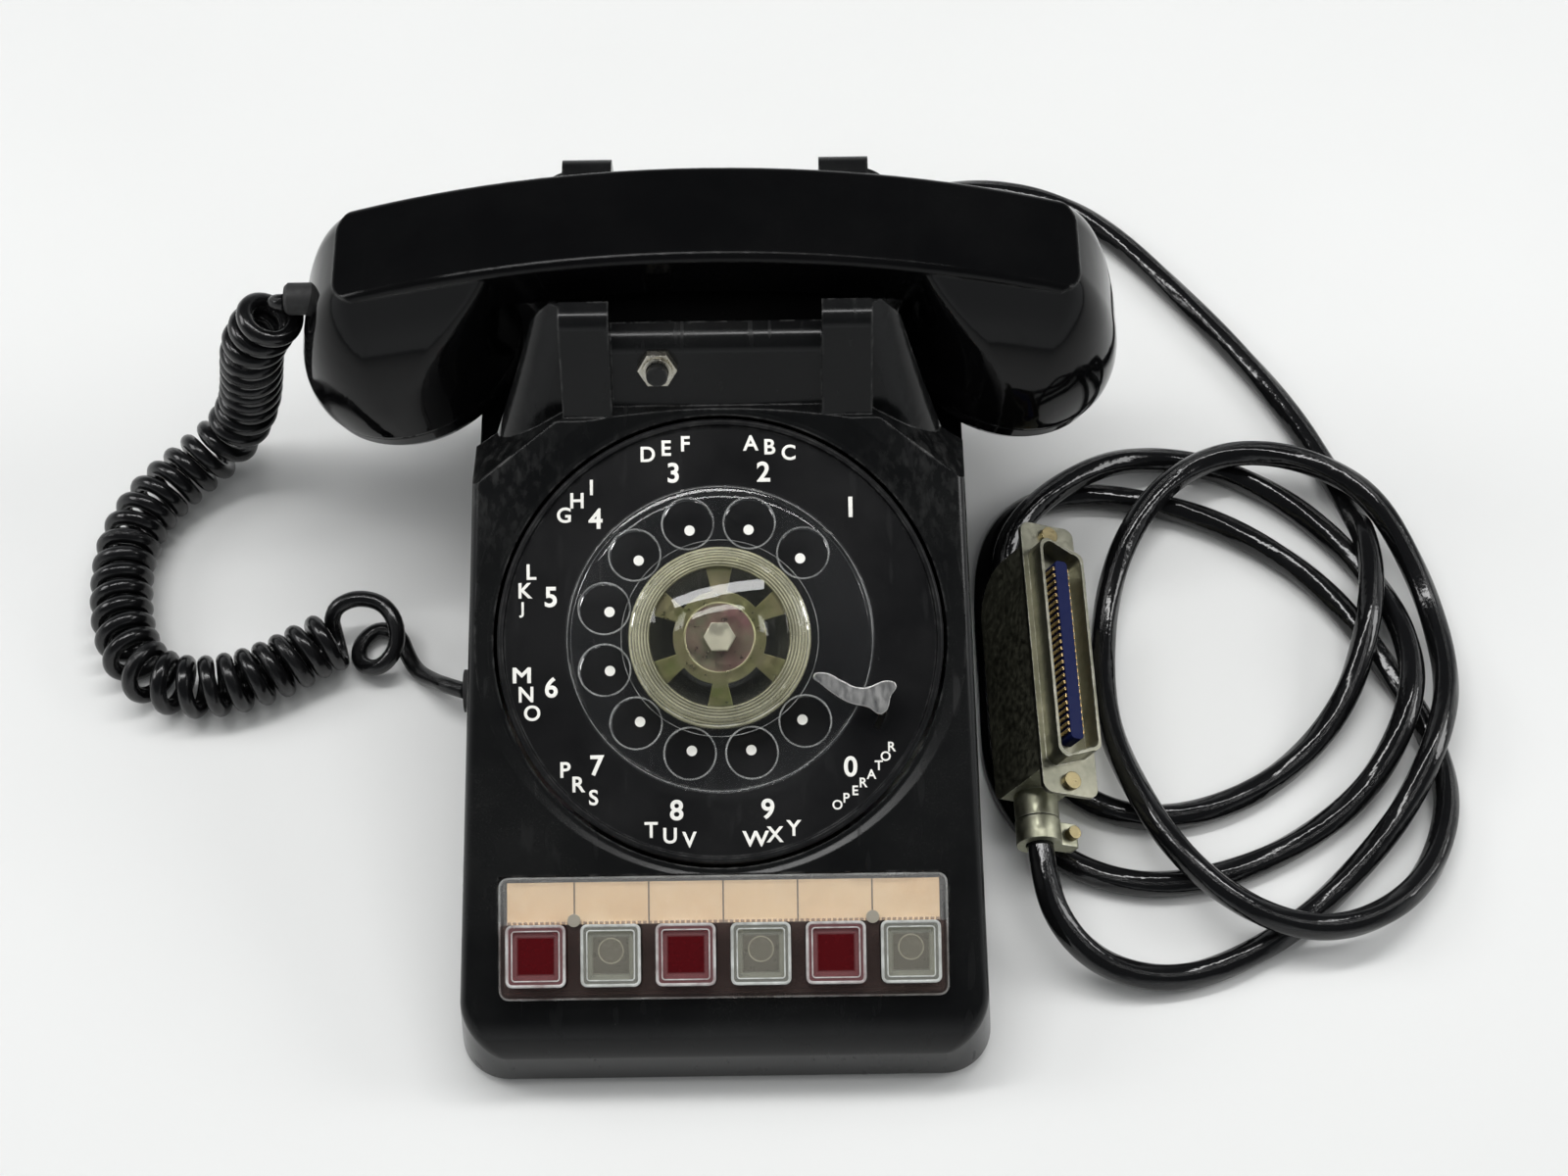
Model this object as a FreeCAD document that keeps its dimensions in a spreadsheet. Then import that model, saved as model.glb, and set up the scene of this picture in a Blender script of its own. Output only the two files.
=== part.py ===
import FreeCAD, Part
import math
import os

import Sketcher
from FreeCAD import Placement, Rotation, Vector

# Six-key rotary desk telephone. Millimetres and degrees.
# Origin: middle of the footprint on the table. +X to the user's right, +Y to the back, +Z up.
SIZES = {
    # Moulded housing
    "housing_width": 150.0,
    "housing_depth": 244.0,
    "housing_floor": 4.0,
    "housing_height": 124.0,
    "corner_radius": 14.0,
    "draft_angle": 3.8,
    "wall": 2.8,
    "nose_radius": 20.0,
    "nose_relief": 0.15,
    "panel_slope": 24.0,
    "panel_crest": 62.0,
    "panel_foot": -99.0,
    "dish_depth": 2.5,
    "dish_inner": 65.0,
    "dish_outer": 72.0,
    "edge_round": 3.5,
    "dial_y": -19.0,
    "dial_z": 72.0,
    "deck_front_y": 75.0,
    "deck_front_z": 92.0,
    "deck_rear_y": 104.0,
    "deck_rear_z": 87.5,
    "deck_rear_radius": 15.0,
    "deck_wall_z": 73.0,
    "shoulder_inner_x": 46.0,
    "shoulder_inner_rise": 61.0,
    "shoulder_outer_x": 70.0,
    "shoulder_outer_rise": 43.0,
    "shoulder_fall": 30.0,
    "shoulder_length": 42.0,
    # Cradle tower
    "tower_foot_z": 80.0,
    "tower_top_z": 126.5,
    "tower_foot_half": 64.0,
    "tower_top_half": 50.0,
    "tower_foot_front": 33.2,
    "tower_top_front": 55.9,
    "tower_foot_rear": 111.0,
    "tower_top_rear": 104.0,
    "tower_corner": 10.0,
    "tower_slope": 64.0,
    "notch_half": 29.5,
    "notch_z": 117.0,
    "notch_round": 6.0,
    "trough_front": 58.0,
    "trough_rear": 100.5,
    "trough_z": 104.0,
    "trough_corner": 9.0,
    "horn_x": 36.5,
    "horn_width": 14.0,
    "horn_foot_y": 36.9,
    "horn_foot_z": 96.9,
    "horn_top_z": 127.0,
    "horn_round": 5.0,
    "horn_rear_y": 110.0,
    "scoop_x": 84.0,
    "cup_x": 85.0,
    "handset_x": -2.7,
    "handset_y": 81.2,
    "scoop_y": 78.0,
    "scoop_radius": 38.0,
    "scoop_z": 57.0,
    "scoop_round": 10.0,
    # Base plate, feet and screws
    "plate_thickness": 2.0,
    "plate_gap": 0.4,
    "foot_height": 4.5,
    "foot_radius": 8.5,
    "foot_x": 58.0,
    "foot_y": 100.0,
    "boss_front_x": 50.0,
    "boss_rear_x": 52.0,
    "boss_front_y": -113.0,
    "boss_rear_y": 113.0,
    "boss_radius": 4.2,
    "screw_radius": 1.9,
    # Dial
    "dial_opening": 63.5,
    "number_plate_radius": 62.4,
    "number_plate_bead": 60.4,
    "number_plate_thickness": 1.6,
    "can_radius": 43.5,
    "can_depth": 26.0,
    "can_wall": 1.5,
    "wheel_radius": 43.0,
    "wheel_top": 6.5,
    "wheel_thickness": 3.0,
    "finger_hole": 6.85,
    "finger_circle": 33.1,
    "hole_rim": 0.65,
    "hole_rim_rise": 0.5,
    "first_hole_angle": 45.0,
    "finger_sweep": 270.0,
    "shaft_radius": 3.95,
    "spigot_radius": 4.2,
    "shaft_flange": 12.0,
    "clamp_radius": 22.0,
    "clamp_thickness": 0.8,
    "cap_radius": 25.2,
    "cap_rise": 6.0,
    "cap_wall": 1.2,
    "hub_screw_radius": 4.4,
    "gear_teeth": 48.0,
    "pinion_teeth": 12.0,
    "gear_module": 1.0,
    "gear_face": 2.5,
    "gear_top": -6.5,
    "governor_radius": 9.5,
    "stop_height": 7.7,
    "stop_thickness": 1.2,
    # Key strip
    "cover_half": 62.0,
    "cover_top": -65.5,
    "cover_bottom": -99.1,
    "cover_thickness": 2.6,
    "cover_lip": 1.2,
    "cover_recess": 0.6,
    "cover_corner": 2.6,
    "key_pitch": 20.6,
    "key_y": -87.0,
    "key_width": 16.2,
    "key_height": 16.8,
    "key_gap": 0.4,
    "key_rise": 7.5,
    "key_skirt": -5.0,
    "key_corner": 1.6,
    "key_wall": 1.6,
    "lens_width": 9.7,
    "lens_foot": -12.0,
    "stem_width": 6.0,
    "stem_foot": -22.0,
    "strip_height": 11.6,
    "frame_level": -18.0,
    "frame_half": 62.5,
    # Button on the cradle wall
    "button_x": -16.5,
    "button_y": 47.9,
    "button_z": 110.0,
    "button_radius": 3.0,
    "bushing_radius": 4.2,
    "nut_radius": 5.6,
    # Handset
    "handle_top": 137.0,
    "handle_arch": 300.0,
    "handle_half": 16.2,
    "handle_foot_half": 12.0,
    "handle_reach": 105.5,
    "handle_corner": 8.0,
    "handle_thickness": 24.0,
    "handle_round": 3.0,
    "handle_sweep": 44.0,
    "cap_face_z": 66.0,
    "cup_tilt": 15.0,
    "cup_radius": 33.0,
    "cap_thickness": 9.0,
    "boot_radius": 4.7,
    "boot_tip_x": -125.0,
    "boot_z": 98.0,
    # Cords
    "strand": 5.0,
    "curl_radius": 7.0,
    "curl_pitch": 5.9,
    "curl_gap": 0.7,
    "cable": 8.0,
    # Connector
    "hood_half": 8.5,
    "hood_reach": 36.0,
    "hood_depth": 26.0,
    "flange_half": 9.0,
    "flange_reach": 43.5,
    "shell_half": 7.2,
    "shell_reach": 35.0,
    "shell_height": 8.5,
    "shell_wall": 0.9,
    "contact_pitch": 2.159,
    "contact_count": 25.0,
}


class Size:
    """A length or angle: its value now and the expression of sheet cells that it follows."""

    def __init__(self, value, text):
        self.value = value
        self.text = text

    def joined(self, sign, other, value):
        return Size(value, "(%s %s %s)" % (self.text, sign, cell_text(other)))

    def __add__(self, other):
        return self.joined("+", other, self.value + number(other))

    def __sub__(self, other):
        return self.joined("-", other, self.value - number(other))

    def __mul__(self, other):
        return self.joined("*", other, self.value * number(other))

    def __truediv__(self, other):
        return self.joined("/", other, self.value / number(other))

    def __neg__(self):
        return Size(-self.value, "(-1 * %s)" % self.text)


def number(size):
    return size.value if isinstance(size, Size) else float(size)


def cell_text(size):
    return size.text if isinstance(size, Size) else repr(float(size))


def cell(alias):
    return Size(SIZES[alias], "sizes." + alias)


DOC = FreeCAD.newDocument("desk_telephone")
SHEET = DOC.addObject("Spreadsheet::Sheet", "sizes")
for row, (alias, amount) in enumerate(SIZES.items(), start=1):
    SHEET.set("A%d" % row, alias)
    SHEET.set("B%d" % row, repr(amount))
    SHEET.setAlias("B%d" % row, alias)
DOC.recompute()

PIECES = []
SLOPE = math.radians(SIZES["panel_slope"])
UP_SLOPE = Vector(0, math.cos(SLOPE), math.sin(SLOPE))
PANEL_NORMAL = Vector(0, -math.sin(SLOPE), math.cos(SLOPE))
DIAL_CENTRE = Vector(0, SIZES["dial_y"], SIZES["dial_z"])
PANEL = Placement(DIAL_CENTRE, Rotation(Vector(1, 0, 0), SIZES["panel_slope"]))
X_AXIS = Vector(1, 0, 0)
Y_AXIS = Vector(0, 1, 0)
Z_AXIS = Vector(0, 0, 1)


# Document helpers
def piece(thing, label):
    """Name a finished sub-part, so that it is written to its own file."""
    thing.Label = label
    PIECES.append(thing)
    return thing


def set_size(thing, prop, size):
    setattr(thing, prop, number(size))
    if isinstance(size, Size):
        thing.setExpression(prop, size.text)


def new_body(name):
    return DOC.addObject("PartDesign::Body", name)


def on_panel(thing):
    """Stand a sub-part on the sloping panel, at the dial's centre."""
    thing.Placement = PANEL
    thing.setExpression("Placement.Base.y", "sizes.dial_y")
    thing.setExpression("Placement.Base.z", "sizes.dial_z")
    thing.setExpression("Placement.Rotation.Angle", "sizes.panel_slope")
    return thing


def new_sketch(body, name, role="XY_Plane", lift=0.0):
    sketch = body.newObject("Sketcher::SketchObject", name)
    plane = [feature for feature in body.Origin.OriginFeatures if feature.Role == role][0]
    sketch.AttachmentSupport = [(plane, "")]
    sketch.MapMode = "FlatFace"
    sketch.AttachmentOffset = Placement(Vector(0, 0, number(lift)), Rotation())
    if isinstance(lift, Size):
        sketch.setExpression("AttachmentOffset.Base.z", lift.text)
    return sketch


def add_constraint(sketch, kind, geometry, position, size):
    """Fix one coordinate or radius of a sketch, bound to the sheet where the size is."""
    if kind == "Radius":
        index = sketch.addConstraint(Sketcher.Constraint(kind, geometry, number(size)))
    elif abs(number(size)) < 1e-9:
        axis = -2 if kind == "DistanceX" else -1
        sketch.addConstraint(Sketcher.Constraint("PointOnObject", geometry, position, axis))
        return
    else:
        index = sketch.addConstraint(Sketcher.Constraint(kind, geometry, position, number(size)))
    if isinstance(size, Size):
        sketch.setExpression("Constraints[%d]" % index, size.text)


def arc_geometry(start, end, radius):
    """Arc under a half circle; a positive radius turns left on the way from start to end."""
    chord = end - start
    side = Vector(-chord.y, chord.x, 0).normalize()
    rise = math.sqrt(max(radius * radius - chord.Length ** 2 / 4, 0.0))
    centre = (start + end) * 0.5 + side * math.copysign(rise, radius)
    first, last = (start, end) if radius > 0 else (end, start)
    angles = [math.atan2(point.y - centre.y, point.x - centre.x) for point in (first, last)]
    circle = Part.Circle(centre, Z_AXIS, abs(radius))
    return Part.ArcOfCircle(circle, angles[0], angles[1])


def outline(sketch, corners):
    """Closed outline through (x, y) corners; (x, y, radius) bends the side that starts there."""
    first = sketch.GeometryCount
    count = len(corners)
    ends = []
    for index, corner in enumerate(corners):
        after = corners[(index + 1) % count]
        start = Vector(number(corner[0]), number(corner[1]), 0)
        end = Vector(number(after[0]), number(after[1]), 0)
        if len(corner) == 2:
            sketch.addGeometry(Part.LineSegment(start, end), False)
            ends.append((1, 2))
        else:
            sketch.addGeometry(arc_geometry(start, end, number(corner[2])), False)
            ends.append((1, 2) if number(corner[2]) > 0 else (2, 1))
    for index, corner in enumerate(corners):
        following = (index + 1) % count
        sketch.addConstraint(Sketcher.Constraint(
            "Coincident", first + index, ends[index][1], first + following, ends[following][0]))
    for index, corner in enumerate(corners):
        add_constraint(sketch, "DistanceX", first + index, ends[index][0], corner[0])
        add_constraint(sketch, "DistanceY", first + index, ends[index][0], corner[1])
        if len(corner) == 3:
            radius = corner[2] if number(corner[2]) > 0 else -1.0 * number(corner[2])
            add_constraint(sketch, "Radius", first + index, 0, radius)


def rounded_box(left, right, low, high, radius):
    """Corners of a rectangle with rounded corners."""
    return [(left + radius, low), (right - radius, low, radius), (right, low + radius),
            (right, high - radius, radius), (right - radius, high), (left + radius, high, radius),
            (left, high - radius), (left, low + radius, radius)]


def circle(sketch, radius, x=0.0, y=0.0):
    index = sketch.addGeometry(Part.Circle(Vector(number(x), number(y), 0), Z_AXIS, number(radius)), False)
    add_constraint(sketch, "Radius", index, 0, radius)
    add_constraint(sketch, "DistanceX", index, 3, x)
    add_constraint(sketch, "DistanceY", index, 3, y)


def pad(body, sketch, length, symmetric=False, taper=None):
    feature = body.newObject("PartDesign::Pad", sketch.Name + "_pad")
    feature.Profile = sketch
    set_size(feature, "Length", length)
    if symmetric:
        feature.SideType = "Symmetric"
    if taper is not None:
        set_size(feature, "TaperAngle", taper)
    DOC.recompute()
    return feature


def pocket(body, sketch, length, symmetric=False, upward=False):
    """Cut a sketch out of its body, and stop if nothing was cut."""
    before = body.Tip.Shape.Volume
    feature = body.newObject("PartDesign::Pocket", sketch.Name + "_pocket")
    feature.Profile = sketch
    set_size(feature, "Length", length)
    if symmetric:
        feature.SideType = "Symmetric"
    feature.Reversed = upward
    DOC.recompute()
    if feature.Shape.Volume > before - 1e-3:
        raise RuntimeError(sketch.Name + " cuts nothing")
    return feature


def revolve(body, sketch, angle=360.0, axis="V_Axis", midplane=False):
    feature = body.newObject("PartDesign::Revolution", sketch.Name + "_turned")
    feature.Profile = sketch
    feature.ReferenceAxis = (sketch, [axis])
    set_size(feature, "Angle", angle)
    feature.Midplane = midplane
    DOC.recompute()
    return feature


def turned(name, corners):
    """Body turned about its own Z axis from a (radius, height) outline."""
    body = new_body(name)
    sketch = new_sketch(body, name + "_section", "XZ_Plane")
    outline(sketch, corners)
    revolve(body, sketch)
    return body


def polar_pattern(body, features, count, angle=360.0):
    pattern = body.newObject("PartDesign::PolarPattern", body.Name + "_pattern")
    pattern.Originals = features
    axis = [feature for feature in body.Origin.OriginFeatures if feature.Role == "Z_Axis"][0]
    pattern.Axis = (axis, [""])
    pattern.Occurrences = int(count)
    pattern.Angle = angle
    body.Tip = pattern
    DOC.recompute()
    return pattern


def box(name, low, high, frame=None):
    """Block between two corners, in its frame where one is given."""
    thing = DOC.addObject("Part::Box", name)
    thing.Length, thing.Width, thing.Height = [high[axis] - low[axis] for axis in range(3)]
    local = Placement(Vector(*low), Rotation())
    thing.Placement = frame.multiply(local) if frame else local
    return thing


def rod(name, radius, height, base, direction=Z_AXIS, frame=None):
    """Cylinder that starts at base and runs along direction."""
    thing = DOC.addObject("Part::Cylinder", name)
    set_size(thing, "Radius", radius)
    set_size(thing, "Height", height)
    local = Placement(base, Rotation(Z_AXIS, direction))
    thing.Placement = frame.multiply(local) if frame else local
    return thing


def fuse(name, things):
    joined = DOC.addObject("Part::MultiFuse", name)
    joined.Shapes = things
    joined.Refine = True
    return joined


def cut(name, base, tools):
    tool = tools[0] if len(tools) == 1 else fuse(name + "_tools", tools)
    result = DOC.addObject("Part::Cut", name)
    result.Base = base
    result.Tool = tool
    result.Refine = True
    return result


def group(name, things):
    """Identical pieces that stay separate solids of one node."""
    gathered = DOC.addObject("Part::Compound", name)
    gathered.Links = things
    return gathered


def common(name, base, tool):
    result = DOC.addObject("Part::Common", name)
    result.Base = base
    result.Tool = tool
    result.Refine = True
    return result


def mirrored(name, source, middle=0.0):
    """Copy of a sub-part on the other side of the telephone, or of a piece's own middle."""
    copy = DOC.addObject("Part::Mirroring", name)
    copy.Source = source
    copy.Normal = X_AXIS
    copy.Base = Vector(middle, 0, 0)
    return copy


# Housing
def shell_section(inset, rise):
    """Outline of what is cut away above the nose, panel and rear deck, seen from the right.

    The outer panel leans a little more than the dial, so that the dial lies in a shallow dish.
    """
    draft = math.radians(SIZES["draft_angle"])
    span = SIZES["panel_crest"] - SIZES["panel_foot"]
    lean = SLOPE + math.atan2(rise, span)
    foot = DIAL_CENTRE + UP_SLOPE * SIZES["panel_foot"]
    wall_in = (math.cos(draft), -math.sin(draft))
    panel_in = (math.sin(lean), -math.cos(lean))
    radius = SIZES["nose_radius"] - inset
    wall_at = (inset - SIZES["housing_depth"] / 2, SIZES["housing_floor"])
    panel_at = (foot.y + inset * panel_in[0], foot.z + inset * panel_in[1])
    reach = radius - SIZES["nose_relief"]
    first = reach + wall_in[0] * wall_at[0] + wall_in[1] * wall_at[1]
    second = radius + panel_in[0] * panel_at[0] + panel_in[1] * panel_at[1]
    across = wall_in[0] * panel_in[1] - wall_in[1] * panel_in[0]
    centre = ((first * panel_in[1] - second * wall_in[1]) / across,
              (wall_in[0] * second - panel_in[0] * first) / across)
    nose_low = (centre[0] - radius * wall_in[0], centre[1] - radius * wall_in[1])
    nose_high = (centre[0] - radius * panel_in[0], centre[1] - radius * panel_in[1])
    crest = (panel_at[0] + span * math.cos(lean), panel_at[1] + span * math.sin(lean))
    deck = (SIZES["deck_front_y"], SIZES["deck_front_z"] - inset)
    edge = (SIZES["deck_rear_y"] - inset / 2, SIZES["deck_rear_z"] - inset)
    rear_y = SIZES["housing_depth"] / 2 - inset
    fall = (SIZES["deck_wall_z"] - SIZES["housing_floor"]) * math.tan(draft)
    heel = (rear_y - fall + SIZES["nose_relief"], SIZES["deck_wall_z"])
    far = SIZES["housing_depth"]
    return [nose_low + (-radius,), nose_high, crest, deck, edge + (inset - SIZES["deck_rear_radius"],),
            heel, (far, heel[1]), (far, far), (-far, far), (-far, nose_low[1])]


def shell_block(name, inset, floor, rise):
    """Drafted block with rounded corners, cut to the side outline."""
    body = new_body(name)
    plan = new_sketch(body, name + "_plan", lift=floor)
    half = cell("housing_width") / 2 - inset
    reach = cell("housing_depth") / 2 - inset
    outline(plan, rounded_box(-half, half, -reach, reach, cell("corner_radius") - inset))
    pad(body, plan, cell("housing_height"), taper=-cell("draft_angle"))
    side = new_sketch(body, name + "_side", "YZ_Plane")
    outline(side, shell_section(number(inset), rise))
    cut_off = pocket(body, side, cell("housing_width") * 2, symmetric=True)
    if rise:
        rounded = body.newObject("PartDesign::Fillet", name + "_edges")
        rounded.Base = (cut_off, upper_edges(cut_off.Shape))
        set_size(rounded, "Radius", cell("edge_round"))
        DOC.recompute()
    return body


def upper_edges(shape):
    """Names of the edges along both sides of the nose and panel."""
    names = []
    crest_y = (DIAL_CENTRE + UP_SLOPE * SIZES["panel_crest"]).y
    for index, edge in enumerate(shape.Edges, start=1):
        low_x, high_x = edge.BoundBox.XMin, edge.BoundBox.XMax
        outer = min(abs(low_x), abs(high_x)) > SIZES["housing_width"] / 2 - 18.0
        front = edge.BoundBox.YMax < crest_y + 1.0 and edge.BoundBox.ZMin > SIZES["housing_floor"] + 10.0
        if outer and low_x * high_x > 0 and front:
            names.append("Edge%d" % index)
    return names


def shoulder_tool(name, drop):
    """Block whose lower face is the right shoulder, behind the panel's slanting upper edge."""
    inner = DIAL_CENTRE + X_AXIS * SIZES["shoulder_inner_x"] + UP_SLOPE * SIZES["shoulder_inner_rise"]
    outer = DIAL_CENTRE + X_AXIS * SIZES["shoulder_outer_x"] + UP_SLOPE * SIZES["shoulder_outer_rise"]
    along = (outer - inner).normalize()
    fall = math.radians(SIZES["shoulder_fall"])
    normal = along.cross(Vector(0, math.cos(fall), -math.sin(fall))).normalize()
    back = normal.cross(along)
    raised = outer + PANEL_NORMAL * (SIZES["dish_depth"] * 0.8)
    frame = Placement(raised, Rotation(along, back, normal, "ZXY"))
    length = SIZES["shoulder_length"]
    return box(name, (-2 * length, 0.0, -drop), (length, length, length), frame)


def tower():
    body = new_body("tower")
    sketches = []
    for level in ("foot", "top"):
        sketch = new_sketch(body, "tower_" + level, lift=cell("tower_%s_z" % level))
        half = cell("tower_%s_half" % level)
        outline(sketch, rounded_box(-half, half, cell("tower_%s_front" % level),
                                    cell("tower_%s_rear" % level), cell("tower_corner")))
        sketches.append(sketch)
    loft = body.newObject("PartDesign::AdditiveLoft", "tower_loft")
    loft.Profile = sketches[0]
    loft.Sections = [sketches[1]]
    loft.Ruled = True
    return body


def horn(name, corners):
    """Cradle ear on the right-hand side."""
    body = new_body(name)
    sketch = new_sketch(body, name + "_side", "YZ_Plane", lift=cell("horn_x"))
    outline(sketch, corners)
    pad(body, sketch, cell("horn_width"), symmetric=True)
    return body


def horns():
    slope = math.radians(SIZES["tower_slope"])
    foot_y, foot_z = SIZES["horn_foot_y"], SIZES["horn_foot_z"]
    top, bend = SIZES["horn_top_z"], SIZES["horn_round"]
    turn = bend * math.tan(slope / 2)
    climb = top - foot_z
    corner_y = foot_y + climb / math.tan(slope)
    bend_y, bend_z = corner_y - turn * math.cos(slope), top - turn * math.sin(slope)
    near = SIZES["handset_y"] - SIZES["handle_half"] - 0.5
    far = SIZES["handset_y"] + SIZES["handle_half"] + 0.5
    front = horn("horn_front", [
        (foot_y, foot_z - 9.0), (foot_y, foot_z), (bend_y, bend_z, -bend), (corner_y + turn, top),
        (near, top), (near, foot_z - 9.0)])
    rear_y = SIZES["horn_rear_y"]
    rear = horn("horn_rear", [
        (far, top), (rear_y - bend, top, -bend), (rear_y, top - bend),
        (rear_y + 9.0, foot_z - 14.0), (far, foot_z - 14.0)])
    return [front, rear, mirrored("horn_front_left", front), mirrored("horn_rear_left", rear)]


def trough():
    body = new_body("trough")
    sketch = new_sketch(body, "trough_side", "YZ_Plane")
    front, rear = cell("trough_front"), cell("trough_rear")
    low, bend = cell("trough_z"), cell("trough_corner")
    high = cell("handle_top")
    outline(sketch, [(front, high), (front, low + bend, bend), (front + bend, low),
                     (rear - bend, low, bend), (rear, low + bend), (rear, high)])
    pad(body, sketch, cell("housing_width"), symmetric=True)
    return body


def notch():
    """What is cut away between the horns, with a round edge left on the cradle's front wall."""
    low, high = SIZES["notch_z"], SIZES["handle_top"]
    rise = SIZES["tower_top_z"] - SIZES["tower_foot_z"]
    lean = (SIZES["tower_top_front"] - SIZES["tower_foot_front"]) / rise
    slope = math.atan2(1.0, lean)
    edge_y = SIZES["tower_foot_front"] + (low - SIZES["tower_foot_z"]) * lean
    bend = SIZES["notch_round"]
    turn = bend * math.tan(slope / 2)
    start = (edge_y - turn * math.cos(slope), low - turn * math.sin(slope))
    body = new_body("notch")
    sketch = new_sketch(body, "notch_side", "YZ_Plane")
    outline(sketch, [start + (-bend,), (edge_y + turn, low), (130.0, low), (130.0, high), (20.0, high),
                     (20.0, start[1])])
    pad(body, sketch, cell("notch_half") * 2, symmetric=True)
    return body


def scoop(name, grow):
    """Round hollow beside the tower that a handset cup hangs in."""
    radius = cell("scoop_radius") + grow
    low = cell("scoop_z") - grow
    bend = cell("scoop_round")
    body = turned(name, [(0.0, low), (radius - bend, low, bend), (radius, low + bend),
                         (radius, 160.0), (0.0, 160.0)])
    body.Placement = Placement(Vector(SIZES["scoop_x"], SIZES["scoop_y"], 0), Rotation())
    body.setExpression("Placement.Base.x", "sizes.scoop_x")
    body.setExpression("Placement.Base.y", "sizes.scoop_y")
    return body


def button_frame():
    slope = math.radians(SIZES["tower_slope"])
    out = Vector(0, -math.sin(slope), math.cos(slope))
    at = Vector(SIZES["button_x"], SIZES["button_y"], SIZES["button_z"])
    return Placement(at, Rotation(Z_AXIS, out))


BUTTON = button_frame()


def boss_places():
    front = [(side * SIZES["boss_front_x"], SIZES["boss_front_y"], 25.0) for side in (-1, 1)]
    rear = [(side * SIZES["boss_rear_x"], SIZES["boss_rear_y"], 40.0) for side in (-1, 1)]
    return front + rear


def build_housing():
    wall = cell("wall")
    block = shell_block("housing_block", 0.0, cell("housing_floor"), SIZES["dish_depth"])
    shoulder = shoulder_tool("shoulder", 0.0)
    dish = DOC.addObject("Part::Cone", "dial_dish")
    steep = (cell("dish_outer") - cell("dish_inner")) / cell("dish_depth")
    set_size(dish, "Radius1", cell("dish_inner"))
    set_size(dish, "Radius2", cell("dish_inner") + steep * 6.0)
    dish.Height = 6.0
    on_panel(dish)
    seat = box("cover_seat", (-SIZES["cover_half"] - 0.3, SIZES["cover_bottom"] - 0.3, 0.0),
               (SIZES["cover_half"] + 0.3, SIZES["cover_top"] + 0.3, 6.0), PANEL)
    shaped = cut("shouldered_block", block, [shoulder, mirrored("shoulder_left", shoulder), dish, seat])
    risen = fuse("block_and_tower", [shaped, tower()] + horns())
    hollow = scoop("scoop", 0.0)
    outside = cut("housing_outside", risen, [trough(), hollow, mirrored("scoop_left", hollow), notch()])
    inner_block = shell_block("cavity_block", wall, cell("housing_floor") - 1.0, 0.0)
    inner_shoulder = shoulder_tool("inner_shoulder", SIZES["wall"])
    inner_scoop = scoop("inner_scoop", wall)
    cavity = cut("cavity", inner_block, [
        inner_shoulder, mirrored("inner_shoulder_left", inner_shoulder),
        inner_scoop, mirrored("inner_scoop_left", inner_scoop)])
    attic = box("attic", (-43.0, 56.0, 62.0), (43.0, 106.0, SIZES["trough_z"] - SIZES["wall"]))
    opening = rod("dial_hole", cell("dial_opening"), 12.0, Vector(0, 0, -9.0), Z_AXIS, PANEL)
    key_hole = box("key_hole", (-60.0, -97.8, -8.0), (60.0, -77.5, 1.0), PANEL)
    hook_holes = [rod("hook_hole_%d" % side, 4.4, 20.0, Vector(side * SIZES["horn_x"], 78.0, 90.0))
                  for side in (-1, 1)]
    button_hole = rod("button_hole", 4.4, 24.0, Vector(0, 0, -20.0), Z_AXIS, BUTTON)
    cord_hole = rod("cord_hole", 4.6, 12.0, Vector(-80.0, -2.0, 12.0), X_AXIS)
    cable_hole = rod("cable_hole", 6.2, 12.0, Vector(20.0, 114.0, 14.0), Y_AXIS)
    shell = cut("housing_shell", outside, [
        cavity, attic, opening, key_hole, button_hole, cord_hole, cable_hole] + hook_holes)
    posts = []
    bores = []
    low = SIZES["housing_floor"] + 0.5 + SIZES["plate_thickness"]
    for index, (x, y, top) in enumerate(boss_places()):
        posts.append(rod("boss_%d" % index, cell("boss_radius"), top - low, Vector(x, y, low)))
        bores.append(rod("boss_bore_%d" % index, cell("screw_radius") + 0.1, 16.0, Vector(x, y, low)))
    joined = fuse("housing_with_bosses", [shell] + posts)
    piece(cut("housing_finished", joined, bores), "housing")


# Base
def build_base():
    body = new_body("base_plate_body")
    sketch = new_sketch(body, "base_plan", lift=cell("housing_floor") + 0.5)
    half = cell("housing_width") / 2 - cell("wall") - cell("plate_gap")
    reach = cell("housing_depth") / 2 - cell("wall") - cell("plate_gap")
    outline(sketch, rounded_box(-half, half, -reach, reach, cell("corner_radius") - cell("wall")))
    pad(body, sketch, cell("plate_thickness"))
    holes = new_sketch(body, "base_holes")
    for x, y, _ in boss_places():
        circle(holes, cell("screw_radius") + 0.3, x, y)
    for y in (-70.0, -55.0, -40.0, 30.0, 45.0, 60.0):
        outline(holes, rounded_box(-16.0, 16.0, y - 2.0, y + 2.0, 1.9))
    pocket(body, holes, cell("housing_floor") * 4, upward=True)
    piece(body, "base_plate")
    feet = []
    for x in (-SIZES["foot_x"], SIZES["foot_x"]):
        for y in (-SIZES["foot_y"], SIZES["foot_y"]):
            foot = DOC.addObject("Part::Cone", "foot")
            set_size(foot, "Radius1", cell("foot_radius") - 1.5)
            set_size(foot, "Radius2", cell("foot_radius"))
            set_size(foot, "Height", cell("foot_height"))
            foot.Placement = Placement(Vector(x, y, 0), Rotation())
            feet.append(foot)
    piece(group("feet_group", feet), "rubber_feet")
    screws = []
    head_z = SIZES["foot_height"] - 1.6
    for index, (x, y, top) in enumerate(boss_places()):
        head = rod("screw_head_%d" % index, 3.8, 1.6, Vector(x, y, head_z))
        shank = rod("screw_shank_%d" % index, cell("screw_radius"), 16.0, Vector(x, y, head_z + 1.6))
        screws.append(fuse("screw_%d" % index, [head, shank]))
    piece(group("screw_group", screws), "housing_screws")


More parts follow.
